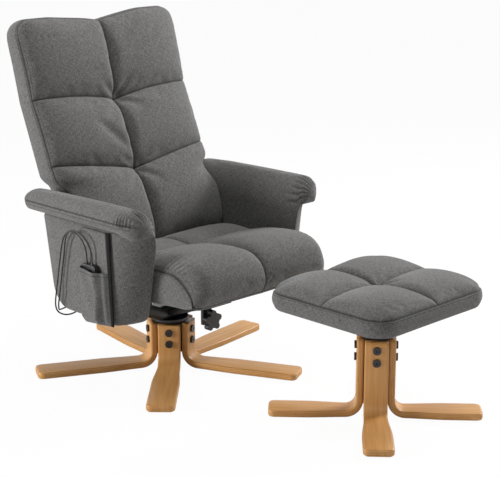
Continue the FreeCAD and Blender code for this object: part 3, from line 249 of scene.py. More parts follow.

# %% [markdown]
# ## Finishes
# Each finish is one material. What is the same all over a surface is set on the shader's own socket, and only
# what changes over the surface comes from nodes. Cloth takes its weave from the cover's own map and painted shade
# along its seams, wood takes its grain from the leg's length, and the rest take a fine grain from their place.


# %% Finish helpers
def new_finish(name, **sockets):
    """A material with its Principled shader, whose plain values are set by socket name."""
    finish = bpy.data.materials.new(name)
    finish.use_nodes = True
    shader = finish.node_tree.nodes["Principled BSDF"]
    for label, value in sockets.items():
        shader.inputs[label.replace("_", " ")].default_value = value
    return finish, finish.node_tree, shader


def placed_group(tree, group, **values):
    made = tree.nodes.new("ShaderNodeGroup")
    made.node_tree = group
    return feed(tree, made, values)


def bump(tree, shader, height, strength, distance):
    lifted = node(tree, "Bump", {"Strength": strength, "Distance": distance, "Height": height})
    tree.links.new(lifted.outputs["Normal"], shader.inputs["Normal"])


print("finish helpers ready")


# %% Cloth, moulded and plywood finishes
def cloth_finish(name, dark, light, threads, sheen):
    """Woven cloth, mapped by the cover's own map in metres, with painted shade along its seams from the seam
    attribute.
    """
    finish, tree, shader = new_finish(name, Sheen_Weight=sheen, Sheen_Roughness=0.45, Roughness=0.92,
                                      Specular_IOR_Level=0.2)
    chart = node(tree, "UVMap", uv_map="UVMap").outputs["UV"]
    # The seam attribute sets where painted shade darkens the cloth.
    sewn = node(tree, "Attribute", attribute_name="seam").outputs["Fac"]
    yarn = placed_group(tree, HEATHER, Map=chart, Dark=(*dark, 1), Light=(*light, 1), Threads=threads, Seam=sewn)
    tree.links.new(yarn.outputs["Color"], shader.inputs["Base Color"])
    bump(tree, shader, yarn.outputs["Height"], strength=0.4, distance=0.0006)
    return finish


def moulded_finish(name, colour, scale, low, high, strength, **sockets):
    """Painted, plated, moulded or felted surfaces with a fine grain."""
    finish, tree, shader = new_finish(name, Base_Color=(*colour, 1), **sockets)
    grain = placed_group(tree, FINE_GRAIN, Scale=scale, Low=low, High=high)
    tree.links.new(grain.outputs["Roughness"], shader.inputs["Roughness"])
    bump(tree, shader, grain.outputs["Height"], strength=strength, distance=0.0004)
    return finish


def plywood_finish(name, pale, warm, dark, coat, layers):
    """Veneer along the piece's map; edges show the stacked layers where the ply attribute changes."""
    finish, tree, shader = new_finish(name, Roughness=0.46, Coat_Weight=coat, Coat_Roughness=0.10,
                                      Specular_IOR_Level=0.25)
    chart = node(tree, "UVMap", uv_map="UVMap").outputs["UV"]
    long_grain = node(tree, "VectorMath", {0: chart, 1: (6.0, 90.0, 1.0)}, operation="MULTIPLY").outputs[0]
    fleck_map = node(tree, "VectorMath", {0: chart, 1: (90.0, 900.0, 1.0)}, operation="MULTIPLY").outputs[0]
    bands = node(tree, "TexNoise", {"Vector": long_grain, "Scale": 1.0, "Detail": 4.0, "Distortion": 0.5})
    flecks = node(tree, "TexNoise", {"Vector": fleck_map, "Scale": 1.0, "Detail": 2.0})
    band_share = node(tree, "MapRange", {"Value": bands.outputs["Fac"], "From Min": 0.3, "From Max": 0.72})
    fleck_share = node(tree, "MapRange", {"Value": flecks.outputs["Fac"], "From Min": 0.58, "From Max": 0.8,
                                          "To Max": 0.22})
    veneer = mix_colour(tree, band_share.outputs["Result"], (*pale, 1), (*warm, 1))
    colour = mix_colour(tree, fleck_share.outputs["Result"], veneer, (*dark, 1))
    if layers:
        layer = node(tree, "Attribute", attribute_name="ply").outputs["Fac"]
        wave = math_node(tree, "SINE", math_node(tree, "MULTIPLY", layer, 2 * pi * layers))
        edge = math_node(tree, "GREATER_THAN", math_node(tree, "PINGPONG", layer, 0.5), 0.03)
        share = math_node(tree, "MULTIPLY", math_node(tree, "GREATER_THAN", wave, 0.2), edge)
        colour = mix_colour(tree, math_node(tree, "MULTIPLY", share, 0.42), colour, (*dark, 1))
    tree.links.new(colour, shader.inputs["Base Color"])
    bump(tree, shader, flecks.outputs["Fac"], strength=0.06, distance=0.0003)
    return finish


print("finish kinds ready")

# %% Finishes of this chair
FINISHES = {
    "fabric_grey": cloth_finish("charcoal_heather", (0.043, 0.042, 0.042), (0.176, 0.172, 0.167), 620.0, 0.16),
    "fabric_black": cloth_finish("black_tape", (0.003, 0.003, 0.003), (0.010, 0.010, 0.010), 900.0, 0.0),
    "ply_honey": plywood_finish("honey_ply", (0.60, 0.325, 0.115), (0.485, 0.232, 0.067), (0.29, 0.122, 0.030),
                                0.20, 4.5),
    "ply_plain": plywood_finish("plain_ply", (0.60, 0.46, 0.30), (0.52, 0.37, 0.22), (0.38, 0.25, 0.14), 0.0, 0),
    "felt_black": moulded_finish("dark_felt", (0.03, 0.03, 0.03), 1400.0, 0.88, 0.98, 0.5, Sheen_Weight=0.3),
    "steel_black": moulded_finish("black_powder_coat", (0.010, 0.010, 0.011), 700.0, 0.26, 0.42, 0.10),
    "steel_bright": moulded_finish("dark_zinc_plate", (0.075, 0.075, 0.078), 300.0, 0.30, 0.45, 0.06, Metallic=1.0),
    "plastic_black": moulded_finish("black_moulding", (0.012, 0.012, 0.013), 1600.0, 0.36, 0.52, 0.18),
    "plastic_dark": moulded_finish("dark_moulding", (0.020, 0.020, 0.022), 1600.0, 0.22, 0.34, 0.08),
    "plastic_pale": moulded_finish("pale_moulding", (0.32, 0.32, 0.33), 1600.0, 0.35, 0.48, 0.10),
    "rubber_black": moulded_finish("black_sheath", (0.004, 0.004, 0.004), 1200.0, 0.50, 0.65, 0.10),
}
for entry in frame["record"]["subparts"]:
    shown = frame["nodes"][entry["node"]]
    shown.data.materials.clear()
    shown.data.materials.append(FINISHES[entry["material_slot"]])
for sheath in leads.values():
    sheath.data.materials.append(FINISHES["rubber_black"])
print("finishes", len(FINISHES))


# %% [markdown]
# ## Covers from cloth panels
# A sewn cover is a few cloth panels that meet at seams. It could be one sculpted blob, but then it would have no
# seams to pull it in. Here each panel is a grid of points, the grids are joined where their borders meet, and
# every point knows whether a seam runs through it and whether it is held while the filling pushes. The seam value
# also sets how much painted shade darkens the cloth along the seam.

# %% Cover builder
def new_mesh(name, points, faces, **labelled):
    """A mesh of these faces, with named values on its points."""
    made = bpy.data.meshes.new(name)
    made.from_pydata(points, [], faces)
    for label, values in labelled.items():
        layer = made.attributes.new(label, "FLOAT", "POINT")
        layer.data.foreach_set("value", np.array(values, np.float32))
    return made


def settled(mesh, join=0.0):
    """The mesh with smooth, outward faces; points closer than join become one."""
    work = bmesh.new()
    work.from_mesh(mesh)
    if join:
        bmesh.ops.remove_doubles(work, verts=work.verts, dist=join)
        bmesh.ops.dissolve_degenerate(work, edges=work.edges, dist=1e-6)
    bmesh.ops.recalc_face_normals(work, faces=work.faces)
    work.to_mesh(mesh)
    work.free()
    mesh.shade_smooth()
    return mesh


class Cover:
    """Gathers grids of points, with their seams and holds, and sews them into one mesh."""

    def __init__(self):
        self.points, self.faces, self.seam, self.hold = [], [], [], []

    def sew(self, grid, seam=0.0, hold=1.0):
        rows, cols, _ = grid.shape
        start = len(self.points)
        self.points.extend(map(tuple, grid.reshape(-1, 3)))
        self.seam.extend(np.broadcast_to(seam, (rows, cols)).ravel())
        self.hold.extend(np.broadcast_to(hold, (rows, cols)).ravel())
        for i in range(rows - 1):
            for j in range(cols - 1):
                k = start + i * cols + j
                self.faces.append((k, k + 1, k + cols + 1, k + cols))

    def mesh(self, name):
        """One mesh with joined borders and outward faces."""
        return settled(new_mesh(name, self.points, self.faces, seam=self.seam, hold=self.hold), join=2e-5)


def point_values(mesh, label):
    values = np.empty(len(mesh.vertices), np.float32)
    mesh.attributes[label].data.foreach_get("value", values)
    return values


def point_places(mesh):
    flat = np.empty(len(mesh.vertices) * 3, np.float32)
    mesh.vertices.foreach_get("co", flat)
    return flat.reshape(-1, 3).astype(float)


def set_places(mesh, places):
    mesh.vertices.foreach_set("co", places.astype(np.float32).ravel())
    mesh.update()


def map_by_facing(mesh):
    """Lays the weave map on each face from the two axes that it faces least, in metres."""
    layer = mesh.uv_layers.new(name="UVMap")
    for face in mesh.polygons:
        facing = max(range(3), key=lambda axis: abs(face.normal[axis]))
        first, second = [axis for axis in (0, 1, 2) if axis != facing]
        for corner in face.loop_indices:
            place = mesh.vertices[mesh.loops[corner].vertex_index].co
            layer.data[corner].uv = (place[first], place[second])


print("cover builder ready")

# %% [markdown]
# ## Stuffing
# Foam and wadding push the cloth out between its seams. That is what Blender's cloth with pressure does: the
# points on seams are pinned, the cloth is cut a little too large, and twenty frames without gravity blow it up
# and wrinkle it near the seams. How far a point may go is capped, so the cushion keeps the size of its CAD solid.

# %% Stuffing
STUFFING_FRAMES, STUFFING_PRESSURE = 20, 4.0
SEWN_FROM, SHARP_SEAM = 0.9, 0.7


def stuff(mesh, cap, slack):
    """Runs the cloth on a trial object and takes its places over, each capped."""
    before = point_places(mesh)
    trial = in_scene("stuffing_trial", mesh.copy())
    held = trial.vertex_groups.new(name="sewn")
    held.add([int(i) for i in np.nonzero(point_values(mesh, "hold") > 0.5)[0]], 1.0, "REPLACE")
    cloth = trial.modifiers.new("stuffing", "CLOTH")
    cloth.settings.vertex_group_mass = "sewn"
    cloth.settings.use_pressure = True
    cloth.settings.uniform_pressure_force = STUFFING_PRESSURE
    cloth.settings.shrink_min = -slack
    cloth.settings.effector_weights.gravity = 0.0
    cloth.collision_settings.use_collision = False
    cloth.collision_settings.use_self_collision = False
    cloth.point_cache.frame_start = 1
    cloth.point_cache.frame_end = STUFFING_FRAMES
    for moment in range(1, STUFFING_FRAMES + 1):
        scene.frame_set(moment)
    blown = evaluated(trial)
    move = np.nan_to_num(point_places(blown.data) - before)
    trial_mesh = trial.data
    bpy.data.objects.remove(trial)
    bpy.data.meshes.remove(trial_mesh)
    scene.frame_set(1)
    far = np.maximum(np.linalg.norm(move, axis=1), 1e-9)
    move *= np.minimum(1.0, cap / far)[:, None]
    set_places(mesh, before + move)
    return float(np.linalg.norm(move, axis=1).max())


def pull_seams(mesh, depth):
    """Draws the seam points in along their normals and keeps the seam lines sharp for the subdivision."""
    seam = point_values(mesh, "seam")
    places = point_places(mesh)
    normals = np.array([vertex.normal[:] for vertex in mesh.vertices])
    sewn = [min(seam[edge.vertices[0]], seam[edge.vertices[1]]) > SEWN_FROM for edge in mesh.edges]
    sharp = mesh.attributes.new("crease_edge", "FLOAT", "EDGE")
    sharp.data.foreach_set("value", np.where(sewn, SHARP_SEAM, 0.0).astype(np.float32))
    set_places(mesh, places - normals * (seam * depth)[:, None])


def finished_piece(name, mesh, body, slot, replaced=()):
    """Puts a mesh in the scene with its finish, its body and the CAD nodes that it stands for."""
    piece = in_scene(name, mesh)
    if not mesh.materials:
        mesh.materials.append(FINISHES[slot])
    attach(piece, body)
    if replaced:
        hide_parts(*replaced)
    print(name, len(mesh.vertices), "points")
    return piece


def upholster(name, cover, body, replaced, cap, slack, groove=0.0025):
    """Sews, stuffs and finishes one cushion."""
    mesh = cover.mesh(name)
    moved = stuff(mesh, cap, slack)
    pull_seams(mesh, groove)
    map_by_facing(mesh)
    piece = finished_piece(name, mesh, body, "fabric_grey", replaced)
    rounder = piece.modifiers.new("soft_rounding", "SUBSURF")
    rounder.levels = rounder.render_levels = 1
    print(name, "moved by up to", round(moved * 1000, 1), "mm")
    return piece


print("stuffing ready")

# %% [markdown]
# ## Shapes that cushions share
# Quilted panels all swell between their seams, fold where the cloth is pulled in and end in boxing strips. Modelled
# by hand, each would be a little different for no reason. As functions of a place on the panel they stay alike.

# %% Shapes that cushions share
SEAM_PINCH = 0.6


def stations(count):
    """Shares from 0 to 1, closer together at both ends, where seams pinch the cloth."""
    steps = np.arange(count + 1) / count
    return SEAM_PINCH * (0.5 - 0.5 * np.cos(pi * steps)) + (1 - SEAM_PINCH) * steps


def spots(*axes):
    """Places from their coordinates along each axis; a single number stands for a whole row."""
    return np.stack(np.broadcast_arrays(*axes), -1)


def puff(share, power):
    """How full a stuffed panel is, 0 at its seams and 1 in its middle."""
    return np.clip(4 * share * (1 - share), 0, 1) ** power


def smooth_step(value, low, high):
    t = np.clip((value - low) / (high - low), 0, 1)
    return t * t * (3 - 2 * t)


def crease(a, b, start, stop, depth, width):
    """A fold in the cloth along a line between two places of a panel."""
    run = np.array(stop) - np.array(start)
    t = ((a - start[0]) * run[0] + (b - start[1]) * run[1]) / (run @ run)
    off = np.hypot(a - start[0] - np.clip(t, 0, 1) * run[0], b - start[1] - np.clip(t, 0, 1) * run[1])
    fade = smooth_step(t, -0.1, 0.15) * (1 - smooth_step(t, 0.55, 1.15))
    return -depth * fade * np.exp(-((off / width) ** 2))


def add_folds(lift, a, b, folds):
    """Presses folds, listed as (start, stop, depth, width), into a panel's lift."""
    for fold in folds:
        lift += crease(a, b, *fold)


def strip_between(first, last, count, bulge):
    """A strip of cloth from one row of points to another, pushed out in its middle."""
    shares = np.linspace(0, 1, count + 1)[:, None, None]
    return first * (1 - shares) + last * shares + bulge * np.sin(pi * shares)


def smooth_line(points, counts):
    """Rows of points on a smooth line through the given rows."""
    rows = [points[0][None]]
    for i, count in enumerate(counts):
        before = points[max(i - 1, 0)]
        start, stop = points[i], points[i + 1]
        after = points[min(i + 2, len(points) - 1)]
        t = (np.arange(1, count + 1) / count)[:, None, None]
        rows.append(0.5 * (2 * start + (stop - before) * t + (2 * before - 5 * start + 4 * stop - after) * t**2
                           + (3 * start - before - 3 * stop + after) * t**3))
    return np.concatenate(rows)


half_shares = stations(28)
COLUMNS = np.concatenate([-half_shares[::-1], half_shares[1:]])
MIDDLE = len(half_shares) - 1
print("columns across a cushion", len(COLUMNS))

# %% [markdown]
# ## Quilted back
# The back is a bent board with thick foam, sewn into two columns of three panels. Its cross seams sag towards the
# middle. The cloth is pulled in hard where the seams cross, which throws short folds into the panels, and a
# boxing strip runs round the sides. A tail of cloth hangs from the foot, between the hinge plates, so that no slit
# opens behind the seat when the back reclines.

# %% Quilted back: its lines
BACK_FOOT, BACK_TOP, BACK_HALF = 0.350, 0.990, 0.279
BACK_LEVELS = (BACK_FOOT, 0.755, BACK_TOP)
BACK_SEAM_X, BACK_DEPTHS = (-0.066, -0.246, -0.308), (0.072, 0.058, 0.044)
BACK_CORNER, DIP, DIP_HALF, LOW_SIDE = 0.046, 0.024, 0.165, 0.006
SHOULDER_LEVELS = (BACK_FOOT, 0.470, 0.520, 0.532, 0.540, 0.548, 0.558)
SHOULDER_HALVES = (0.2535, 0.2540, 0.2540, 0.2570, 0.2670, 0.2750, BACK_HALF)
LOWER_SEAM, LOWER_SAG, UPPER_SEAM, UPPER_SAG = 0.591, 0.041, 0.767, 0.026
PANEL_ROWS = (30, 20, 24)


def back_top(u):
    """Height of the top edge: a dip in the middle, round corners and one side a little lower."""
    away = np.abs(u) * BACK_HALF
    dip = DIP * np.clip(1 - away / DIP_HALF, 0, 1) ** 1.2
    over = np.clip(away - (BACK_HALF - BACK_CORNER), 0, BACK_CORNER)
    low_side = LOW_SIDE * smooth_step(-u, 0.05, 0.55)
    return BACK_TOP - dip - low_side - (BACK_CORNER - np.sqrt(np.maximum(BACK_CORNER**2 - over**2, 0)))


back_rows = [(row, share) for row, count in enumerate(PANEL_ROWS) for share in stations(count)[min(row, 1):]]
print("rows up the back", len(back_rows))

# %% Quilted back: its panels
BASE_LIFT, CROSS_LIFT, PANEL_EDGE, LOW_PANEL, PANEL = 0.006, 0.021, 0.004, 0.043, 0.036
RIDGE, RIDGE_SPREAD = 0.015, 0.05
TUFT_HEIGHTS, TUFT_DEPTH, TUFT_SPREAD = (0.741, 0.550), 0.0045, 0.024
LOW_LEAN, HIGH_LEAN = radians(24.0), radians(14.8)
TOP_NARROWING, REAR_DROP, REAR_FULLNESS = 0.008, 0.010, 0.004
BACK_FOLDS = (
    ((0.004, 0.750), (0.058, 0.800), 0.0130, 0.0075), ((0.006, 0.746), (0.080, 0.764), 0.0100, 0.0065),
    ((0.006, 0.736), (0.078, 0.712), 0.0110, 0.0075), ((-0.004, 0.750), (-0.050, 0.792), 0.0075, 0.0085),
    ((-0.006, 0.734), (-0.060, 0.696), 0.0080, 0.0090), ((0.006, 0.559), (0.066, 0.590), 0.0080, 0.0080),
    ((-0.018, 0.600), (-0.120, 0.700), 0.0095, 0.0120), ((-0.006, 0.560), (-0.060, 0.582), 0.0070, 0.0080),
    ((0.005, 0.543), (0.056, 0.508), 0.0070, 0.0085), ((-0.005, 0.543), (-0.056, 0.506), 0.0070, 0.0085),
)


def back_points():
    """Front and rear points of the back, and the front's seam lines."""
    u = np.broadcast_to(COLUMNS, (len(back_rows), len(COLUMNS)))
    row = np.array([r for r, _ in back_rows])[:, None] + np.zeros(u.shape, int)
    b = np.array([s for _, s in back_rows])[:, None] + np.zeros(u.shape)
    inward = 1 - np.abs(u)
    edges = [BACK_FOOT + 0 * u, LOWER_SEAM - LOWER_SAG * inward**1.15,
             UPPER_SEAM - UPPER_SAG * inward**2.2, back_top(u)]
    low, high = np.choose(row, edges[:3]), np.choose(row, edges[1:])
    z = low + (high - low) * b
    half = np.interp(z, SHOULDER_LEVELS, SHOULDER_HALVES)
    y = u * half - TOP_NARROWING * smooth_step(-u, 0.0, 1.0) * smooth_step(z, 0.72, 0.98)
    across = puff(np.abs(u), 0.5)
    wrapped = smooth_step(np.abs(u), 0.5, 1.0) * (1 - smooth_step(z, 0.455, 0.530)) * (row == 0)
    across = across + (1 - across) * 0.95 * wrapped
    at_low = np.where(row == 0, 0.0, CROSS_LIFT * across)
    at_high = np.where(row == 2, 0.0, CROSS_LIFT * across)
    panel = PANEL_EDGE + np.where(row == 0, LOW_PANEL, PANEL) * across
    full = puff(b, 0.5)
    lift = BASE_LIFT + (at_low + (at_high - at_low) * b) * (1 - full) + panel * full
    lift += RIDGE * full * np.exp(-((y / RIDGE_SPREAD) ** 2))
    for height in TUFT_HEIGHTS:
        lift -= TUFT_DEPTH * np.exp(-((np.hypot(y, z - height) / TUFT_SPREAD) ** 2))
    add_folds(lift, y, z, BACK_FOLDS)
    lean = LOW_LEAN + (HIGH_LEAN - LOW_LEAN) * smooth_step(z, 0.70, 0.81)
    plane, depth = np.interp(z, BACK_LEVELS, BACK_SEAM_X), np.interp(z, BACK_LEVELS, BACK_DEPTHS)
    front = spots(plane + lift * np.cos(lean), y, z + lift * np.sin(lean))
    z_rear = z - REAR_DROP * smooth_step(b, 0.5, 1.0) * (row == 2)
    rear = spots(plane - depth - REAR_FULLNESS * puff(np.abs(u), 1.0) * puff(b, 0.3), y, z_rear)
    # Seam weights: the cover pulls these points in, and the cloth finish paints shade along them.
    seam = np.zeros(u.shape)
    seam[:, MIDDLE] = seam[-1] = 1.0
    seam[:, 0] = seam[:, -1] = smooth_step(z[:, 0], 0.47, 0.53)
    for i, (panel_row, share) in enumerate(back_rows):
        if panel_row < 2 and share == 1.0:
            seam[i] = 1.0
    return front, rear, seam


back_front, back_rear, back_seam = back_points()
print("back panels", back_front.shape)

# %% Quilted back: its cover
BOXING_ROWS, BOXING_BULGE = 8, 0.003
TAIL_DROP, TAIL_THICK, TAIL_ROOT = 0.034, 0.007, 0.0115
TAIL_FULL_TO, TAIL_ENDS_AT = 0.205, 0.222
back_rim = np.zeros(back_seam.shape)
back_rim[:, 0] = back_rim[:, -1] = back_rim[-1] = 1.0
back_hold = back_seam.copy()
back_hold[0] = 1.0
back_cover = Cover()
back_cover.sew(back_front, back_seam, back_hold)
back_cover.sew(back_rear, back_rim)
rim_lines = np.zeros((BOXING_ROWS + 1, 1))
rim_lines[0] = rim_lines[-1] = 1.0
top_run = np.gradient(back_front[-1][:, 1:], axis=0)
top_out = spots(0 * top_run[:, 0], -top_run[:, 1], top_run[:, 0])
top_out[0], top_out[-1] = (0, -1, 0), (0, 1, 0)
top_out /= np.linalg.norm(top_out, axis=1)[:, None]
away_from_foot = smooth_step(np.arange(len(back_rows)), 0, 6)[:, None]
for edge, side in ((0, -1.0), (-1, 1.0)):
    bulge = away_from_foot * (0, side * BOXING_BULGE, 0)
    back_cover.sew(strip_between(back_front[:, edge], back_rear[:, edge], BOXING_ROWS, bulge), rim_lines)
back_cover.sew(strip_between(back_front[-1], back_rear[-1], BOXING_ROWS, top_out * BOXING_BULGE), rim_lines)
foot_front, foot_rear = back_front[0], back_rear[0]
plain_foot = strip_between(foot_front, foot_rear, BOXING_ROWS, np.zeros(3))
tail_front = foot_front + np.array([-0.001, 0, -TAIL_DROP])
tail_rear = tail_front + np.array([-TAIL_THICK, 0, 0.001])
tail_root = foot_front + np.array([-TAIL_ROOT, 0, -0.003])
tail = np.stack([foot_front, (foot_front + tail_front) / 2, tail_front, tail_rear, (tail_rear + tail_root) / 2,
                 tail_root, tail_root * 2 / 3 + foot_rear / 3, tail_root / 3 + foot_rear * 2 / 3, foot_rear])
between_plates = (1 - smooth_step(np.abs(foot_front[:, 1]), TAIL_FULL_TO, TAIL_ENDS_AT))[None, :, None]
back_cover.sew(plain_foot * (1 - between_plates) + tail * between_plates)
back_piece = upholster("back_upholstery", back_cover, "back", ("back_cushion", "back_shell"),
                       cap=0.006, slack=0.008)

# %% [markdown]
# ## Quilted seat
# The seat has a rear and a front panel on each side of its middle seam. The front panels roll over the nose and
# down to a hem, and their outer ends are drawn down to the side boxing in a curve, where gathers take up the
# spare cloth.

# %% Quilted seat: its rows
SEAT_HALF, SEAT_LOW, SEAT_REAR = 0.246, 0.2866, -0.0545
SEAT_MIDDLE_LINE = [(SEAT_REAR, SEAT_LOW), (SEAT_REAR, 0.362), (0.103, 0.368), (0.215, 0.388), (0.318, 0.393),
                    (0.366, 0.374), (0.385, 0.340), (0.381, 0.312), (0.368, 0.292)]
SEAT_PANEL_RISE = [(0, 0), (0, 0.004), (0, 0.013), (0, 0.022), (0.003, 0.026), (0.010, 0.020), (0.009, 0.005),
                   (0.006, 0.003), (0.004, 0.003)]
SEAT_SIDE_LINE = [(SEAT_REAR, SEAT_LOW), (SEAT_REAR, 0.355), (0.103, 0.364), (0.215, 0.375), (0.288, 0.376),
                  (0.326, 0.359), (0.353, 0.336), (0.365, 0.320), (0.367, 0.304)]
SIDE_START, SIDE_CURVE = 0.82, 0.18
REAR_RISE, REAR_PUFF = 0.004, 0.010


def seat_rows():
    """Rows of the seat's top from the rear edge over the nose to the hem."""
    a = np.abs(COLUMNS)
    across = puff(a, 0.5)
    outer = 1 - np.sqrt(1 - np.clip((a - SIDE_START) / SIDE_CURVE, 0, 1) ** 2)
    keys = []
    for middle, rise, side in zip(SEAT_MIDDLE_LINE, SEAT_PANEL_RISE, SEAT_SIDE_LINE):
        x = middle[0] + rise[0] * across + (side[0] - middle[0]) * outer
        z = middle[1] + rise[1] * across + (side[1] - middle[1]) * outer
        keys.append(spots(x, COLUMNS * SEAT_HALF, z))
    rear_middle = (keys[1] + keys[2]) / 2 + np.array([0, 0, 1.0]) * (REAR_RISE + REAR_PUFF * across)[:, None]
    rear_face = strip_between(keys[0], keys[1], BOXING_ROWS, np.zeros(3))
    rear_top = smooth_line([keys[1], rear_middle, keys[2]], [11, 11])[1:]
    front_top = smooth_line(keys[2:], [24, 44, 22, 14, 10, 8])[1:]
    return np.concatenate([rear_face, rear_top, front_top]), len(rear_face) - 1, len(rear_face) + len(rear_top) - 1


seat_top, seat_rear_row, seat_cross_row = seat_rows()
print("rows along the seat", len(seat_top))

# %% Quilted seat: its folds and gathers
SEAT_FOLDS = (
    ((0.110, -0.006), (0.150, -0.055), 0.005, 0.008), ((0.110, 0.006), (0.165, 0.050), 0.004, 0.009),
    ((0.096, 0.006), (0.060, 0.050), 0.004, 0.008), ((0.300, -0.035), (0.345, -0.070), 0.003, 0.008),
    ((0.125, -0.230), (0.185, -0.180), 0.006, 0.008), ((0.150, -0.235), (0.220, -0.200), 0.004, 0.007),
)
GATHER_PITCH, GATHER_REACH, GATHER_DEPTH, GATHER_PULL = 0.0125, 0.016, 0.0065, 0.0035
HEM_ROW = -4
x, y, z = (seat_top[..., axis].copy() for axis in range(3))
side_run = np.concatenate([[0], np.cumsum(np.linalg.norm(np.diff(seat_top[:, 0], axis=0), axis=1))])[:, None]
from_side = SEAT_HALF - np.abs(y)
gather = (0.5 + 0.5 * np.cos(2 * pi * side_run / GATHER_PITCH)) ** 2 * np.exp(-from_side / GATHER_REACH)
gather *= smooth_step(x, 0.235, 0.26) * (1 - smooth_step(x, 0.335, 0.352)) * smooth_step(from_side, -0.001, 0.004)
fold = 0 * x
add_folds(fold, x, y, SEAT_FOLDS)
seat_top[..., 2] += fold * smooth_step(z, 0.340, 0.358) - GATHER_DEPTH * gather
seat_top[..., 0] -= GATHER_PULL * gather
# Seam weights: the cover pulls these rows in, and the cloth finish paints shade along them; lower values give less of
# both.
seat_seam = np.zeros(x.shape)
seat_seam[seat_rear_row:, MIDDLE] = seat_seam[seat_rear_row:, 0] = seat_seam[seat_rear_row:, -1] = 1.0
seat_seam[seat_rear_row] = 1.0
seat_seam[seat_cross_row], seat_seam[HEM_ROW] = 0.45, 0.8
seat_hold = (seat_seam > 0.3).astype(float)
seat_hold[:seat_rear_row] = seat_hold[-1] = 1.0
print("deepest gather", round(float(gather.max()) * GATHER_DEPTH * 1000, 1), "mm")

# %% Quilted seat: its cover
SIDE_FOOT_X = (0.05, 0.10, 0.20, 0.288, 0.350, 0.367)
SIDE_FOOT_Z = (SEAT_LOW, 0.279, 0.282, 0.291, 0.299, 0.302)
SEAT_BULGE, FLAT_UNDERSIDE_FROM, HEM_TURN = 0.006, 0.06, 0.002
seat_cover = Cover()
seat_cover.sew(seat_top, seat_seam, seat_hold)
box_seam = np.zeros((BOXING_ROWS + 1, 1))
box_seam[0] = 1.0
feet = []
for edge, side in ((0, -1.0), (-1, 1.0)):
    rim = seat_top[seat_rear_row:, edge]
    foot = rim.copy()
    foot[:, 2] = np.interp(rim[:, 0], SIDE_FOOT_X, SIDE_FOOT_Z)
    swell = smooth_step(rim[:, 0], -0.052, -0.02) * (1 - 0.6 * smooth_step(rim[:, 0], 0.30, 0.38))
    seat_cover.sew(strip_between(rim, foot, BOXING_ROWS, swell[:, None] * (0, side * SEAT_BULGE, 0)), box_seam)
    feet.append(foot)
half_way = (COLUMNS[None, :, None] + 1) / 2
under = feet[0][:, None] * (1 - half_way) + feet[1][:, None] * half_way
x_under = under[..., 0].copy()
under[..., 0] += (np.linspace(0, 1, len(under)) ** 6)[:, None] * (seat_top[-1, :, 0] - seat_top[-1, 0, 0])
from_edges = smooth_step(1 - np.abs(COLUMNS), 0.0, FLAT_UNDERSIDE_FROM)
under[..., 2] += (SEAT_LOW - under[..., 2]) * from_edges * smooth_step(0.37 - x_under, 0.0, FLAT_UNDERSIDE_FROM)
under[-1, :, 2] = seat_top[-1, :, 2] - HEM_TURN
seat_cover.sew(under)
seat_cover.sew(np.stack([seat_top[-1], under[-1]]))
seat_piece = upholster("seat_upholstery", seat_cover, "seat", ("seat_cushion",), cap=0.004, slack=0.006)

# %% [markdown]
# ## Padded arms
# Each arm is a slab of foam on plywood in a plain cover. On top lies a roll whose cover also hangs down the inner
# face, so inside there is no ledge, while outside the roll overhangs. A seam runs along the outer side and round
# the nose, where the cloth above it is gathered.

# %% Arm panels
ARM_INNER, ARM_OUTER, ARM_TOP, ARM_LOW = 0.2605, 0.342, 0.487, 0.230
REAR_FOOT, REAR_SLANT, REAR_ROUND, TAIL_ROUND = -0.096, 0.169, 0.062, 0.022
FRONT_HEAD, FRONT_SLANT, CORE_TOP, FRONT_ROUND = 0.256, 0.177, 0.478, 0.030
NOSE_START, NOSE_POWER, NOSE_LIP = 0.160, 1.25, 0.002
LOW_ROUND, TOP_DRAW, SIDE_SWELL = 0.012, 0.010, 0.004
SIDE_STEPS = 26
PANEL_FREE = (slice(14, -2), slice(26, 48))


def quarter(value, start, size):
    """How far a round corner of that size has drawn in at a place before start."""
    t = np.clip((start - value) / size, 0, 1)
    return size * (1 - np.sqrt(1 - t * t))


def arm_ring(z):
    """The panel's plan at a height: a straight inner face, a quarter-round front and a rounded rear."""
    rear = REAR_FOOT - REAR_SLANT * (z - ARM_LOW) + quarter(z, ARM_LOW + REAR_ROUND, REAR_ROUND)
    front = FRONT_HEAD - FRONT_SLANT * (CORE_TOP - z) - quarter(z, ARM_LOW + FRONT_ROUND, FRONT_ROUND)
    tuck = quarter(z, ARM_LOW + LOW_ROUND, LOW_ROUND)
    inner, outer = ARM_INNER + tuck + TOP_DRAW * smooth_step(z, 0.445, ARM_TOP), ARM_OUTER - tuck
    turn = np.linspace(0, pi / 2, 25)
    nose = spots(front - (front - NOSE_START) * (1 - np.cos(turn) ** NOSE_POWER),
                 inner + NOSE_LIP + (outer - inner - NOSE_LIP) * np.sin(turn) ** NOSE_POWER)
    along = np.linspace(NOSE_START, rear + TAIL_ROUND, SIDE_STEPS)[1:]
    level = (z - ARM_LOW) / (ARM_TOP - ARM_LOW)
    full = SIDE_SWELL * puff(np.linspace(0, 1, SIDE_STEPS)[1:], 0.7) * puff(level, 0.7)
    side = spots(along, outer + full)
    turn = np.linspace(0, pi, 17)[1:]
    tail_x = rear + TAIL_ROUND * (1 - np.sin(turn))
    rounded = spots(tail_x, (inner + outer) / 2 + (outer - inner) / 2 * np.cos(turn))
    face = spots(np.linspace(rear + TAIL_ROUND, front - 0.003, SIDE_STEPS)[1:], inner)
    return np.concatenate([nose, side, rounded, face, nose[:1]])


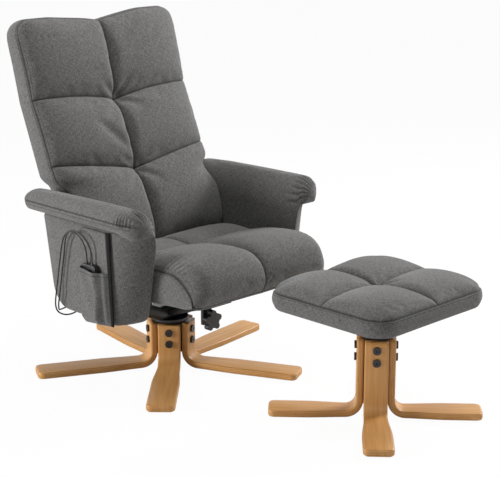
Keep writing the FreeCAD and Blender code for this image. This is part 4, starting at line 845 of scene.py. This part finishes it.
def arm_panel(name, side, node_name):
    """A padded slab, built up from its plan at one height after another; its outer side is free to swell."""
    low_part = ARM_LOW + REAR_ROUND * (1 - np.cos(np.linspace(0, pi / 2, 15)))
    heights = np.concatenate([low_part, np.linspace(0.302, ARM_TOP, 22)])
    grid = []
    for z in heights:
        ring = arm_ring(float(z))
        grid.append(spots(ring[:, 0], side * ring[:, 1], z))
    grid = np.array(grid)
    hold = np.ones(grid.shape[:2])
    hold[PANEL_FREE] = 0.0
    cover = Cover()
    cover.sew(grid, 0.0, hold)
    for ring in (grid[0], grid[-1]):
        cover.sew(np.stack([ring, np.broadcast_to(ring[:-1].mean(axis=0), ring.shape)]))
    return upholster(name, cover, "chair_body", (node_name,), cap=0.002, slack=0.004)


arm_pieces = {}
for word, side in (("left", 1.0), ("right", -1.0)):
    arm_pieces["panel_" + word] = arm_panel("arm_cover_" + word, side, "arm_panel_" + word)

# %% Arm rolls: one cross section
ROLL_REAR, ROLL_FRONT = -0.211, 0.268
ROLL_INNER, ROLL_CREST, ROLL_OUTER, ROLL_SEAM, ROLL_BASE = 0.2582, 0.314, 0.357, 0.508, 0.4785
ROLL_CORE = np.array([0.308, 0.497])
ROLL_STATIONS = np.concatenate([np.linspace(ROLL_REAR, -0.165, 15), np.linspace(-0.153, 0.135, 25),
                                np.linspace(0.1385, ROLL_FRONT, 52)])
ROLL_TOP_X = (ROLL_REAR, -0.17, -0.09, 0.0, 0.12, 0.22, ROLL_FRONT)
ROLL_TOP_Z = (0.530, 0.533, 0.537, 0.539, 0.5415, 0.542, 0.541)
APRON_FOOT, APRON_START, APRON_BACK, UNDER_OUTER = 0.262, 0.448, 0.2598, 0.339
INNER_FOLD, SIDE_FOLD, SIDE_FOLD_PITCH, NOSE_FOLD = 0.0075, 0.0085, 0.0095, 0.0065


def dome(value, start, stop):
    """1 before start, then round to 0 at stop."""
    t = np.clip((value - start) / (stop - start), 0, 1)
    return float(np.sqrt(max(1 - t * t, 0.0)))


def pinched(turns):
    """Narrow valleys, one to a turn."""
    return (0.5 + 0.5 * np.cos(2 * pi * turns)) ** 3


def roll_gathers(x, over, outer):
    """How far the gathers draw the roll in: at the inner nose, above the outer seam and over the nose."""
    at_inner = INNER_FOLD * pinched(over * 6.0) * smooth_step(x, 0.200, 0.240) * smooth_step(over, 0.0, 0.2)
    above = np.exp(-(((outer[1:, 1] - ROLL_SEAM - 0.004) / 0.019) ** 2))
    beside = smooth_step(x, 0.190, 0.208) * (1 - smooth_step(x, 0.250, 0.262))
    at_side = SIDE_FOLD * pinched((x - 0.16) / SIDE_FOLD_PITCH) * beside * above
    at_nose = NOSE_FOLD * pinched(np.linspace(0, 1, len(outer) - 1) * 3.0 + 0.5) * smooth_step(x, 0.225, 0.245)
    return np.concatenate([at_inner, np.maximum(at_side, at_nose)])[:, None]


def roll_section(x):
    """One cross section of the roll with its inner apron, as places (y, z) and their seam weights."""
    top = float(np.interp(x, ROLL_TOP_X, ROLL_TOP_Z))
    front_edge = CORE_TOP + (x + 0.004 - FRONT_HEAD) / FRONT_SLANT
    base = ROLL_BASE - 0.012 * float(smooth_step(x, 0.190, 0.245))
    rear_edge = 0.236 + 0.248 * (REAR_FOOT - x + 0.035) / 0.042
    hem = float(np.clip(max(front_edge, rear_edge), APRON_FOOT, base))
    start = max(APRON_START, hem)
    turn = np.linspace(0, pi / 2, 33)
    apron = spots(ROLL_INNER, np.linspace(hem, start, 12))
    inner = spots(ROLL_CREST - (ROLL_CREST - ROLL_INNER) * np.cos(turn), start + (top - start) * np.sin(turn))
    outer = spots(ROLL_CREST + (ROLL_OUTER - ROLL_CREST) * np.cos(turn[::-1]),
                  ROLL_SEAM + (top - ROLL_SEAM) * np.sin(turn[::-1]))
    lower = spots(UNDER_OUTER + 0.018 * np.cos(turn[::4]),
                  ROLL_SEAM - (ROLL_SEAM - base) * np.sin(turn[::4]))
    under = spots(np.linspace(UNDER_OUTER, APRON_BACK, 8), base)
    tuck = spots(APRON_BACK, np.linspace(base, hem, 8))
    cap = np.concatenate([inner, outer[1:]])
    away = cap - ROLL_CORE
    away /= np.maximum(np.linalg.norm(away, axis=1), 1e-6)[:, None]
    cap = cap - away * roll_gathers(x, turn / pi * 2, outer)
    line = np.concatenate([apron, cap[1:], lower[1:], under[1:], tuck[1:], apron[:1]])
    rear_round = dome(-x, 0.180, -ROLL_REAR)
    wide = dome(x, 0.226, ROLL_FRONT) * dome(-x, 0.150, -ROLL_REAR)
    high = dome(x, 0.222, ROLL_FRONT) * rear_round
    low = dome(x, 0.246, ROLL_FRONT) * rear_round
    flat = line - ROLL_CORE
    hanging = line[:, 1] < min(start, base) - 1e-6
    rise = np.where(flat[:, 1] > 0, flat[:, 1] * high, np.where(hanging, flat[:, 1], flat[:, 1] * low))
    # Seam weight: the cover pulls the outer seam in, and the cloth finish paints shade along it.
    seam = np.zeros(len(line))
    seam[len(apron) + len(cap) - 2] = 1.0
    spread = np.where(flat[:, 0] > 0, dome(x, 0.200, ROLL_FRONT) * rear_round, wide)
    return spots(flat[:, 0] * spread, rise) + ROLL_CORE, seam


print("stations along a roll", len(ROLL_STATIONS))

# %% Arm rolls: the covers
SEAM_FROM, SEAM_TO = -0.19, 0.262
ROLL_FREE = (slice(3, -32), slice(32, 75))


def arm_roll(name, side, node_name, raised):
    """A roll along the arm, from one cross section to the next, stuffed a little higher by raised."""
    grid, seams = [], []
    for x_at in ROLL_STATIONS:
        line, seam = roll_section(float(x_at))
        line[:, 1] += raised * smooth_step(line[:, 1], 0.450, 0.462)
        grid.append(spots(x_at, side * line[:, 0], line[:, 1]))
        seams.append(seam if SEAM_FROM < x_at < SEAM_TO else 0 * seam)
    hold = np.ones((len(grid), len(grid[0])))
    hold[ROLL_FREE] = 0.0
    cover = Cover()
    cover.sew(np.array(grid), np.array(seams), np.maximum(hold, seams))
    return upholster(name, cover, "chair_body", (node_name,), cap=0.0015, slack=0.002, groove=0.0020)


for word, side, raised in (("left", 1.0, 0.0), ("right", -1.0, 0.007)):
    arm_pieces["roll_" + word] = arm_roll("arm_roll_" + word, side, "arm_pad_" + word, raised)

# %% [markdown]
# ## Footstool cushion
# A square cushion with boxed sides, sewn crosswise into four panels with a deep tuft in the middle. Its top could be
# a plain rounded box, but the corners' short folds and the tuft are what make it look sewn, so it is drawn as the
# seat is: one grid for the top, a strip round the side and one grid below.

# %% Footstool cushion: its plan
STOOL_X, STOOL_Y = 0.672, 0.117
STOOL_DEEP, STOOL_WIDE, STOOL_CORNER = 0.194, 0.217, 0.060
STOOL_LOW, STOOL_SEAM = 0.305, 0.345
STOOL_LIFT, STOOL_RIDGE, STOOL_RIDGE_SPREAD = 0.037, 0.013, 0.25
STOOL_FOLDS = (
    ((0.006, 0.008), (0.050, 0.030), 0.005, 0.007), ((-0.008, -0.006), (-0.040, -0.055), 0.005, 0.008),
    ((-0.010, -0.004), (-0.075, -0.035), 0.005, 0.008), ((0.008, -0.006), (0.050, -0.040), 0.004, 0.007),
    ((-0.008, 0.008), (-0.045, 0.045), 0.004, 0.008), ((0.182, -0.150), (0.150, -0.140), 0.004, 0.004),
    ((0.184, -0.165), (0.150, -0.152), 0.004, 0.004), ((0.184, -0.135), (0.150, -0.128), 0.004, 0.004),
    ((0.184, -0.118), (0.155, -0.115), 0.003, 0.004), ((-0.120, -0.030), (-0.060, -0.110), 0.003, 0.010),
)


def stool_plan(a, b):
    """Shares across the cushion to places on its plan, whose corners are rounded."""
    reach = np.maximum(np.maximum(np.abs(a), np.abs(b)), 1e-6)
    edge_a, edge_b = a / reach * STOOL_DEEP, b / reach * STOOL_WIDE
    corner_x, corner_y = STOOL_DEEP - STOOL_CORNER, STOOL_WIDE - STOOL_CORNER
    over_x, over_y = np.abs(edge_a) - corner_x, np.abs(edge_b) - corner_y
    outside = (over_x > 0) & (over_y > 0)
    length = np.maximum(np.hypot(over_x, over_y), 1e-9)
    round_x = np.where(outside, np.sign(edge_a) * (corner_x + over_x / length * STOOL_CORNER), edge_a) * reach
    round_y = np.where(outside, np.sign(edge_b) * (corner_y + over_y / length * STOOL_CORNER), edge_b) * reach
    weight = smooth_step(reach, 0.5, 1.0)
    return a * STOOL_DEEP * (1 - weight) + round_x * weight, b * STOOL_WIDE * (1 - weight) + round_y * weight


stool_a, stool_b = np.meshgrid(COLUMNS, COLUMNS, indexing="ij")
plan_x, plan_y = stool_plan(stool_a, stool_b)
full_a, full_b = puff(np.abs(stool_a), 0.5), puff(np.abs(stool_b), 0.5)
lift = STOOL_LIFT * full_a * full_b
lift += STOOL_RIDGE * full_a * np.exp(-((stool_b / STOOL_RIDGE_SPREAD) ** 2)) * (1 - full_b)
lift += STOOL_RIDGE * full_b * np.exp(-((stool_a / STOOL_RIDGE_SPREAD) ** 2)) * (1 - full_a)
add_folds(lift, plan_x, plan_y, STOOL_FOLDS)
stool_top = spots(STOOL_X + plan_x, STOOL_Y + plan_y, STOOL_SEAM + lift)
print("footstool top", stool_top.shape)

# %% Footstool cushion: its cover
STOOL_BOX_ROWS, STOOL_BULGE, STOOL_INSET, STOOL_DROP = 10, 0.007, 0.004, 0.005
rim_share = np.maximum(np.abs(stool_a), np.abs(stool_b))
# Seam weights: the cover pulls these in, and the cloth finish paints shade along them.
stool_seam = (rim_share > 0.9999).astype(float)
stool_seam[MIDDLE, :] = stool_seam[:, MIDDLE] = 1.0
stool_cover = Cover()
stool_cover.sew(stool_top, stool_seam, stool_seam)
stool_rim = np.concatenate([stool_top[0], stool_top[1:, -1], stool_top[-1, ::-1][1:], stool_top[::-1, 0][1:]])
middle = np.array([STOOL_X, STOOL_Y])
outward = np.zeros(stool_rim.shape)
outward[:, :2] = stool_rim[:, :2] - middle
outward /= np.linalg.norm(outward, axis=1)[:, None]
stool_foot = stool_rim - outward * STOOL_INSET
stool_foot[:, 2] = STOOL_LOW - STOOL_DROP
box_seam = np.zeros((STOOL_BOX_ROWS + 1, 1))
box_seam[0] = 1.0
stool_cover.sew(strip_between(stool_rim, stool_foot, STOOL_BOX_ROWS, outward[None] * STOOL_BULGE), box_seam)
stool_floor = stool_top.copy()
away = stool_floor[..., :2] - middle
inset = STOOL_INSET * rim_share**8 / np.maximum(np.linalg.norm(away, axis=-1), 1e-6)
stool_floor[..., :2] -= away * inset[..., None]
stool_floor[..., 2] = STOOL_LOW - STOOL_DROP * smooth_step(rim_share, 0.9, 1.0)
stool_cover.sew(stool_floor)
stool_piece = upholster("stool_upholstery", stool_cover, "footstool", ("stool_cushion",), cap=0.004, slack=0.006)

# %% [markdown]
# ## Bent plywood legs
# Nine legs are pressed from veneers: an upright plate, a tight bend and a long foot that widens to its tip. A
# rounded section is swept along that path, so the grain follows the bend, and an attribute keeps each point's
# place in the stack of veneers for the stripes on the edges.

# %% Bent plywood legs
LEG_THICK, LEG_BEND, LEG_GLIDE, LEG_EDGE = 0.019, 0.028, 0.003, 0.0048
TIP_HALF, TIP_CORNER = 0.039, 0.018


def bent_leg_mesh(name, reach, plate_top, plate_face, plate_width, flare_start, flare_end):
    """One leg along +X: its path with the turn and the thinning at each step, and a section swept along it."""
    middle = LEG_THICK / 2
    x_mid, z_mid = plate_face - middle, LEG_GLIDE + middle
    radius = LEG_BEND + middle
    x_turn, z_turn, tip = x_mid + radius, z_mid + radius, reach - TIP_CORNER
    path = [(x_mid, z, 0.0, 0.0) for z in np.linspace(plate_top, LEG_GLIDE + LEG_THICK + LEG_BEND, 12)]
    path += [(x_turn - radius * cos(t), z_turn - radius * sin(t), t, 0.0) for t in np.linspace(0, pi / 2, 12)[1:]]
    path += [(x, z_mid, pi / 2, 0.0) for x in np.linspace(x_turn, tip, 30)[1:]]
    path += [(tip + TIP_CORNER * sin(t), z_mid, pi / 2, LEG_EDGE * (1 - cos(max(0.0, 2 * t - pi / 2))))
             for t in np.linspace(0, pi / 2, 13)[1:]]
    section = []
    for cx, cy, start in ((1, 1, 0), (-1, 1, pi / 2), (-1, -1, pi), (1, -1, 1.5 * pi)):
        section += [(cx, cy, start + t) for t in np.linspace(0, pi / 2, 5)]
    points, stack, chart, travelled = [], [], [], 0.0
    for i, (x, z, turn, draw) in enumerate(path):
        if i:
            travelled += np.hypot(x - path[i - 1][0], z - path[i - 1][1])
        half = plate_width / 2 + (TIP_HALF - plate_width / 2) * float(smooth_step(x, flare_start, flare_end))
        over = max(0.0, x - tip)
        half -= TIP_CORNER - np.sqrt(max(TIP_CORNER**2 - over**2, 0.0))
        for cx, cy, angle in section:
            v = cx * (half - LEG_EDGE) + LEG_EDGE * cos(angle)
            w = cy * (middle - LEG_EDGE - draw) + LEG_EDGE * sin(angle)
            points.append((x + w * cos(turn), v, z + w * sin(turn)))
            stack.append(0.5 + w / LEG_THICK)
            chart.append((travelled, v + w * 0.3))
    count = len(section)
    faces = [(i * count + j, i * count + (j + 1) % count, (i + 1) * count + (j + 1) % count, (i + 1) * count + j)
             for i in range(len(path) - 1) for j in range(count)]
    faces += [tuple(range(count)), tuple(range(len(points) - 1, len(points) - 1 - count, -1))]
    mesh = new_mesh(name, points, faces, ply=stack)
    layer = mesh.uv_layers.new(name="UVMap")
    for loop in mesh.loops:
        layer.data[loop.index].uv = chart[loop.vertex_index]
    return settled(mesh)


def place_legs(word, body, shape, count, first_turn, x, y):
    """Copies of one leg round a hub, each with its place in its own mesh and its own stretch of grain."""
    blank = bent_leg_mesh(word + "_bent_leg", *shape)
    for i in range(count):
        turn = radians(first_turn) + 2 * pi * i / count
        mesh = blank.copy()
        for vertex in mesh.vertices:
            px, py, pz = vertex.co
            vertex.co = (x + px * cos(turn) - py * sin(turn), y + px * sin(turn) + py * cos(turn), pz)
        for corner in mesh.uv_layers["UVMap"].data:
            corner.uv = (corner.uv[0] + 0.37 * i, corner.uv[1] + 0.21 * i)
        finished_piece(f"{word}_bent_leg_{i + 1}", mesh, body, "ply_honey", (f"{word}_leg_{i + 1}",))


place_legs("chair", "star_base", (0.390, 0.134, 0.0645, 0.064, 0.085, 0.215), 5, -45.7, 0.0, 0.0)
place_legs("stool", "footstool", (0.279, 0.217, 0.0505, 0.062, 0.066, 0.190), 4, -47.5, STOOL_X, STOOL_Y)

# %% [markdown]
# ## Pouch on the arm
# A flat backing is sewn to the arm, and a pocket on it holds the handset: one strip of cloth, folded up at its
# foot. The pocket stands out round the handset, its mouth is hemmed and sags a little, and a black tape covers
# the front edge. The cloth is modelled as a thin sheet and gets its thickness from a modifier.

# %% Pouch on the arm
POUCH_LOW, POUCH_TOP, POUCH_MOUTH, POUCH_Y = 0.222, 0.480, 0.381, -0.3480
POCKET_DEPTH, POCKET_FOLD, POCKET_RIPPLE, POCKET_HEM = 0.0245, 0.006, 0.0012, 0.0008


def thin_cloth(name, cover, body, slot, replaced, thickness):
    """A sewn sheet that gets its wall from a modifier; says how much cloth it takes."""
    mesh = cover.mesh(name)
    map_by_facing(mesh)
    piece = finished_piece(name, mesh, body, slot, replaced)
    wall = piece.modifiers.new("cloth_wall", "SOLIDIFY")
    wall.thickness = thickness
    wall.offset = 0.0
    print(name, round(sum(face.area for face in mesh.polygons), 4), "m2")
    return piece


def pouch_edges(z):
    """Rear and front edge of the pouch at a height."""
    drop = (POUCH_TOP - z) / (POUCH_TOP - POUCH_LOW)
    return 0.052 + 0.006 * drop, 0.150 + 0.016 * drop


def pouch_grid(low, high, rows, cols, bulge):
    """A cloth panel between the pouch's edges; bulge gives how far it stands out and sags."""
    grid = []
    share = np.linspace(0, 1, cols)
    for level in np.linspace(0, 1, rows):
        z = low + (high - low) * level + 0.010 * share * (1 - level)
        rear, front = pouch_edges(z)
        out, dip = bulge(share, level)
        grid.append(spots(rear + (front - rear) * share, POUCH_Y - out, z + dip))
    return np.array(grid)


def pocket_bulge(share, level):
    """The pocket is fullest round the handset, has a slack fold in front of it and closes at its foot."""
    full = smooth_step(share, 0.0, 0.16) * (1 - 0.62 * smooth_step(share, 0.66, 0.86))
    full *= 1 - smooth_step(share, 0.9, 1.0)
    foot = np.sqrt(np.clip(level / 0.16, 0.0, 1.0))
    beside = np.exp(-(((share - 0.74 - 0.1 * (level - 0.3)) / 0.07) ** 2))
    fold = POCKET_FOLD * beside * (1 - smooth_step(level, 0.45, 0.8))
    ripple = POCKET_RIPPLE * np.sin(share * 11 + level * 7) * puff(share, 1.0)
    out = (POCKET_DEPTH * full + ripple) * foot + fold * foot
    hem = POCKET_HEM * smooth_step(level, 0.92, 0.925)
    return out + hem, (0.001 - 0.009 * share) * level - 0.002 * puff(share, 1.0) * smooth_step(level, 0.7, 1.0)


backing = pouch_grid(POUCH_LOW, POUCH_TOP, 40, 26, lambda share, level: (0 * share, 0 * share))
pocket = pouch_grid(POUCH_LOW, POUCH_MOUTH, 46, 44, pocket_bulge)
# Painted shade: on the pouch these seam values only darken the cloth along its rear seam, its foot and its hem.
backing_seam_shade, pocket_seam_shade = np.zeros(backing.shape[:2]), np.zeros(pocket.shape[:2])
backing_seam_shade[:, 0] = 0.7
pocket_seam_shade[:, 0], pocket_seam_shade[0], pocket_seam_shade[HEM_ROW] = 0.8, 0.6, 0.5
pouch_cover = Cover()
pouch_cover.sew(backing, backing_seam_shade)
pouch_cover.sew(pocket, pocket_seam_shade)
pouch_piece = thin_cloth("pouch_cloth", pouch_cover, "chair_body", "fabric_grey", ("handset_pouch",), 0.0014)

# %% Tape along the pouch
TAPE_NARROW, TAPE_WIDENS, TAPE_Y, TAPE_SWELL, TAPE_RIB, TAPE_RIB_PITCH = 0.009, 0.006, -0.3455, 0.0030, 0.0004, 0.008
tape_rows, share = [], np.linspace(0, 1, 11)
for z_at in np.linspace(POUCH_LOW + 0.010, POUCH_TOP + 0.002, 90):
    x_at = pouch_edges(z_at)[1]
    width = TAPE_NARROW + TAPE_WIDENS * (z_at - POUCH_LOW) / (POUCH_TOP - POUCH_LOW)
    ribs = TAPE_RIB * np.sin(z_at * 2 * pi / TAPE_RIB_PITCH)
    out = TAPE_Y - TAPE_SWELL * puff(share, 0.4) - ribs
    tape_rows.append(spots(x_at - 0.001 + width * share, out, z_at))
tape_cover = Cover()
tape_cover.sew(np.array(tape_rows))
tape_piece = thin_cloth("pouch_tape", tape_cover, "chair_body", "fabric_black", ("pouch_strip",), 0.0014)

# %% [markdown]
# ## Webbing under the seat
# Woven straps run from the rear rail to the front rail and carry the foam. They could be left plain, as they hardly
# show, but someone who turns the chair over sees them. They are flat strips with a small sag.

# %% Webbing under the seat
STRAP_HALF, STRAP_SPREAD, STRAP_INSET, STRAP_SAG = 0.023, 0.200, 0.0012, 0.001
web_low, web_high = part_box("seat_webbing")
web_cover = Cover()
for share in (-0.66, -0.22, 0.22, 0.66):
    strap = []
    for x_at in np.linspace(web_low[0], web_high[0], 24):
        along = (x_at - web_low[0]) / (web_high[0] - web_low[0])
        ys = STRAP_SPREAD * share + np.linspace(-STRAP_HALF, STRAP_HALF, 6)
        height = web_high[2] - STRAP_INSET - STRAP_SAG * puff(along, 1.0)
        strap.append(spots(x_at, ys, height))
    web_cover.sew(np.array(strap))
web_piece = thin_cloth("seat_straps", web_cover, "seat", "fabric_black", ("seat_webbing",), 0.0012)

# %% [markdown]
# ## Stitches
# Rows of thread run beside the seams. Thousands of equal short stitches along lines are work for Geometry Nodes:
# one tree sets points along every line at a pitch, puts a short thread on each and makes the whole row real.

# %% Stitch tree
STITCH = {"Pitch": 0.0042, "Stitch Length": 0.0030, "Thread Radius": 0.00035}


def make_stitch_tree():
    """A tree that turns lines into rows of short threads."""
    tree = bpy.data.node_groups.new("stitch_row", "GeometryNodeTree")
    face = tree.interface
    face.new_socket("Lines", in_out="INPUT", socket_type="NodeSocketGeometry")
    for label, value in STITCH.items():
        face.new_socket(label, in_out="INPUT", socket_type="NodeSocketFloat").default_value = value
    face.new_socket("Thread", in_out="INPUT", socket_type="NodeSocketMaterial")
    face.new_socket("Stitches", in_out="OUTPUT", socket_type="NodeSocketGeometry")
    given, out, spread, thread, turn, sown, real, dyed = (tree.nodes.new(kind) for kind in (
        "NodeGroupInput", "NodeGroupOutput", "GeometryNodeCurveToPoints", "GeometryNodeMeshCylinder",
        "FunctionNodeAlignRotationToVector", "GeometryNodeInstanceOnPoints", "GeometryNodeRealizeInstances",
        "GeometryNodeSetMaterial"))
    spread.mode = "LENGTH"
    thread.inputs["Vertices"].default_value = 6
    turn.axis = "Z"
    for source, output, target, entry in (
        (given, "Lines", spread, "Curve"), (given, "Pitch", spread, "Length"),
        (given, "Thread Radius", thread, "Radius"), (given, "Stitch Length", thread, "Depth"),
        (spread, "Tangent", turn, "Vector"), (spread, "Points", sown, "Points"), (thread, "Mesh", sown, "Instance"),
        (turn, "Rotation", sown, "Rotation"), (sown, "Instances", real, "Geometry"),
        (real, "Geometry", dyed, "Geometry"), (given, "Thread", dyed, "Material"), (dyed, "Geometry", out, "Stitches"),
    ):
        tree.links.new(source.outputs[output], target.inputs[entry])
    return tree


STITCH_TREE = make_stitch_tree()
print("tree", STITCH_TREE.name)

# %% Stitch rows
THREAD_LIFT = 0.0004


def on_surface(piece, line):
    """Puts a line of points on a piece's finished surface."""
    mesh = evaluated(piece).data
    corners = [vertex.co[:] for vertex in mesh.vertices]
    skin = BVHTree.FromPolygons(corners, [face.vertices[:] for face in mesh.polygons])
    placed = []
    for point in line:
        spot, normal, _, _ = skin.find_nearest(Vector(point))
        placed.append(spot + normal * THREAD_LIFT)
    return placed


def stitch_rows(name, body, rows):
    """Sews rows of stitches on pieces; rows are (piece, line) pairs."""
    curve = bpy.data.curves.new(name + "_lines", "CURVE")
    curve.dimensions = "3D"
    for piece, line in rows:
        add_spline(curve, "POLY", on_surface(piece, line))
    lines = in_scene(name + "_lines", curve)
    sewing = lines.modifiers.new("sewing", "NODES")
    sewing.node_group = STITCH_TREE
    sockets = {item.name: item.identifier for item in STITCH_TREE.interface.items_tree if item.in_out == "INPUT"}
    for label, value in (*STITCH.items(), ("Thread", FINISHES["fabric_black"])):
        sewing[sockets[label]] = value
    mesh = bpy.data.meshes.new_from_object(evaluated(lines))
    bpy.data.objects.remove(lines)
    mesh.name = name
    return finished_piece(name, mesh, body, "fabric_black")


print("stitch rows ready")

# %% Stitches of this chair
BESIDE_SEAM, BELOW_TOP_SEAM, BELOW_STOOL_SEAM, ROLL_STITCH_GAP = 0.11, 0.13, 0.006, 0.005
back_lines = []
for edge, beside in ((0, 1), (-1, -2)):
    behind = back_front[:, edge] + (back_rear[:, edge] - back_front[:, edge]) * BESIDE_SEAM
    back_lines += [(back_piece, behind[10:]), (back_piece, back_front[10:, beside])]
back_lines.append((back_piece, back_front[-1] + (back_rear[-1] - back_front[-1]) * BELOW_TOP_SEAM))
stitch_rows("back_stitches", "back", back_lines)
seat_lines = [(seat_piece, seat_top[HEM_ROW])]
seat_lines += [(seat_piece, seat_top[seat_rear_row:, beside]) for beside in (1, -2)]
stitch_rows("seat_stitches", "seat", seat_lines)
stitch_rows("stool_stitches", "footstool", [(stool_piece, stool_rim - np.array([0, 0, BELOW_STOOL_SEAM]))])
arm_lines = [(pouch_piece, pocket[HEM_ROW] - np.array([0, 0.004, 0]))]
along = np.linspace(-0.18, 0.25, 90)
for word, side in (("left", 1.0), ("right", -1.0)):
    for rise in (-ROLL_STITCH_GAP, ROLL_STITCH_GAP):
        line = spots(along, side * 0.36, ROLL_SEAM + rise)
        arm_lines.append((arm_pieces["roll_" + word], line))
stitch_rows("arm_stitches", "chair_body", arm_lines)

# %% [markdown]
# ## Floor and light
# A pale floor runs out to a white surround. Large soft lamps light the cloth from above and from the picture's right,
# a weak one near the camera opens the shadows, and a low one at the picture's left draws a light edge along the
# boxing, as in a studio. Rays from the camera and mirror rays see the surround as white, and the floor still takes
# shadows.

# %% Floor and surround
FLOOR_HALF, FLOOR_DROP, FLOOR_GLOW, WORLD_STRENGTH = 40, 0.0004, 0.965, 0.13
corners = [(x * FLOOR_HALF, y * FLOOR_HALF, 0) for x, y in ((-1, -1), (1, -1), (1, 1), (-1, 1))]
floor_mesh = new_mesh("studio_floor", corners, [(0, 1, 2, 3)])
floor = in_scene("studio_floor", floor_mesh)
floor.location.z = -FLOOR_DROP
paper = bpy.data.materials.new("white_paper")
paper.use_nodes = True
tree = paper.node_tree
tree.nodes.clear()
matte = node(tree, "BsdfDiffuse", {"Color": (0.86, 0.86, 0.86, 1)})
glow = node(tree, "Emission", {"Color": (1, 1, 1, 1), "Strength": 1.0})
rays = node(tree, "LightPath")
seen = math_node(tree, "MULTIPLY", rays.outputs["Is Camera Ray"], FLOOR_GLOW)
mixed = node(tree, "MixShader", {0: seen, 1: matte.outputs[0], 2: glow.outputs[0]})
node(tree, "OutputMaterial", {"Surface": mixed.outputs[0]})
floor_mesh.materials.append(paper)
world = bpy.data.worlds.new("studio")
scene.world = world
world.use_nodes = True
tree = world.node_tree
tree.nodes.clear()
rays = node(tree, "LightPath")
mirrored = math_node(tree, "MAXIMUM", rays.outputs["Is Glossy Ray"], rays.outputs["Is Transmission Ray"])
white = math_node(tree, "MAXIMUM", rays.outputs["Is Camera Ray"], mirrored)
strength = node(tree, "MapRange", {"Value": white, "To Min": WORLD_STRENGTH, "To Max": 1.0}).outputs["Result"]
sky = node(tree, "Background", {"Color": (1, 1, 1, 1), "Strength": strength})
node(tree, "OutputWorld", {"Surface": sky.outputs[0]})
print("floor and surround ready")

# %% Lamps
LAMPS = (
    ("overhead", (0.4, 0.1, 3.0), (0.2, 0.0, 0.3), 2.0, 52),
    ("front_right", (1.0, 3.1, 2.0), (0.0, 0.0, 0.5), 1.4, 145),
    ("front_fill", (3.2, -1.2, 1.6), (0.2, 0.0, 0.4), 2.0, 10),
    ("left_edge", (-1.5, -2.9, 0.8), (-0.1, 0.0, 0.5), 1.0, 112),
)
for name, place, aim, size, power in LAMPS:
    data = bpy.data.lights.new(name, "AREA")
    data.shape = "SQUARE"
    data.size = size
    data.energy = power
    lamp = in_scene(name, data)
    lamp.location = place
    lamp.rotation_euler = (Vector(aim) - Vector(place)).to_track_quat("-Z", "Y").to_euler()
scene.view_settings.view_transform = "Standard"

# %% [markdown]
# ## Last update
# The dressed part should fill the CAD model's box and no more; here the view layer is brought up to date.

# %% Last update
bpy.context.view_layer.update()
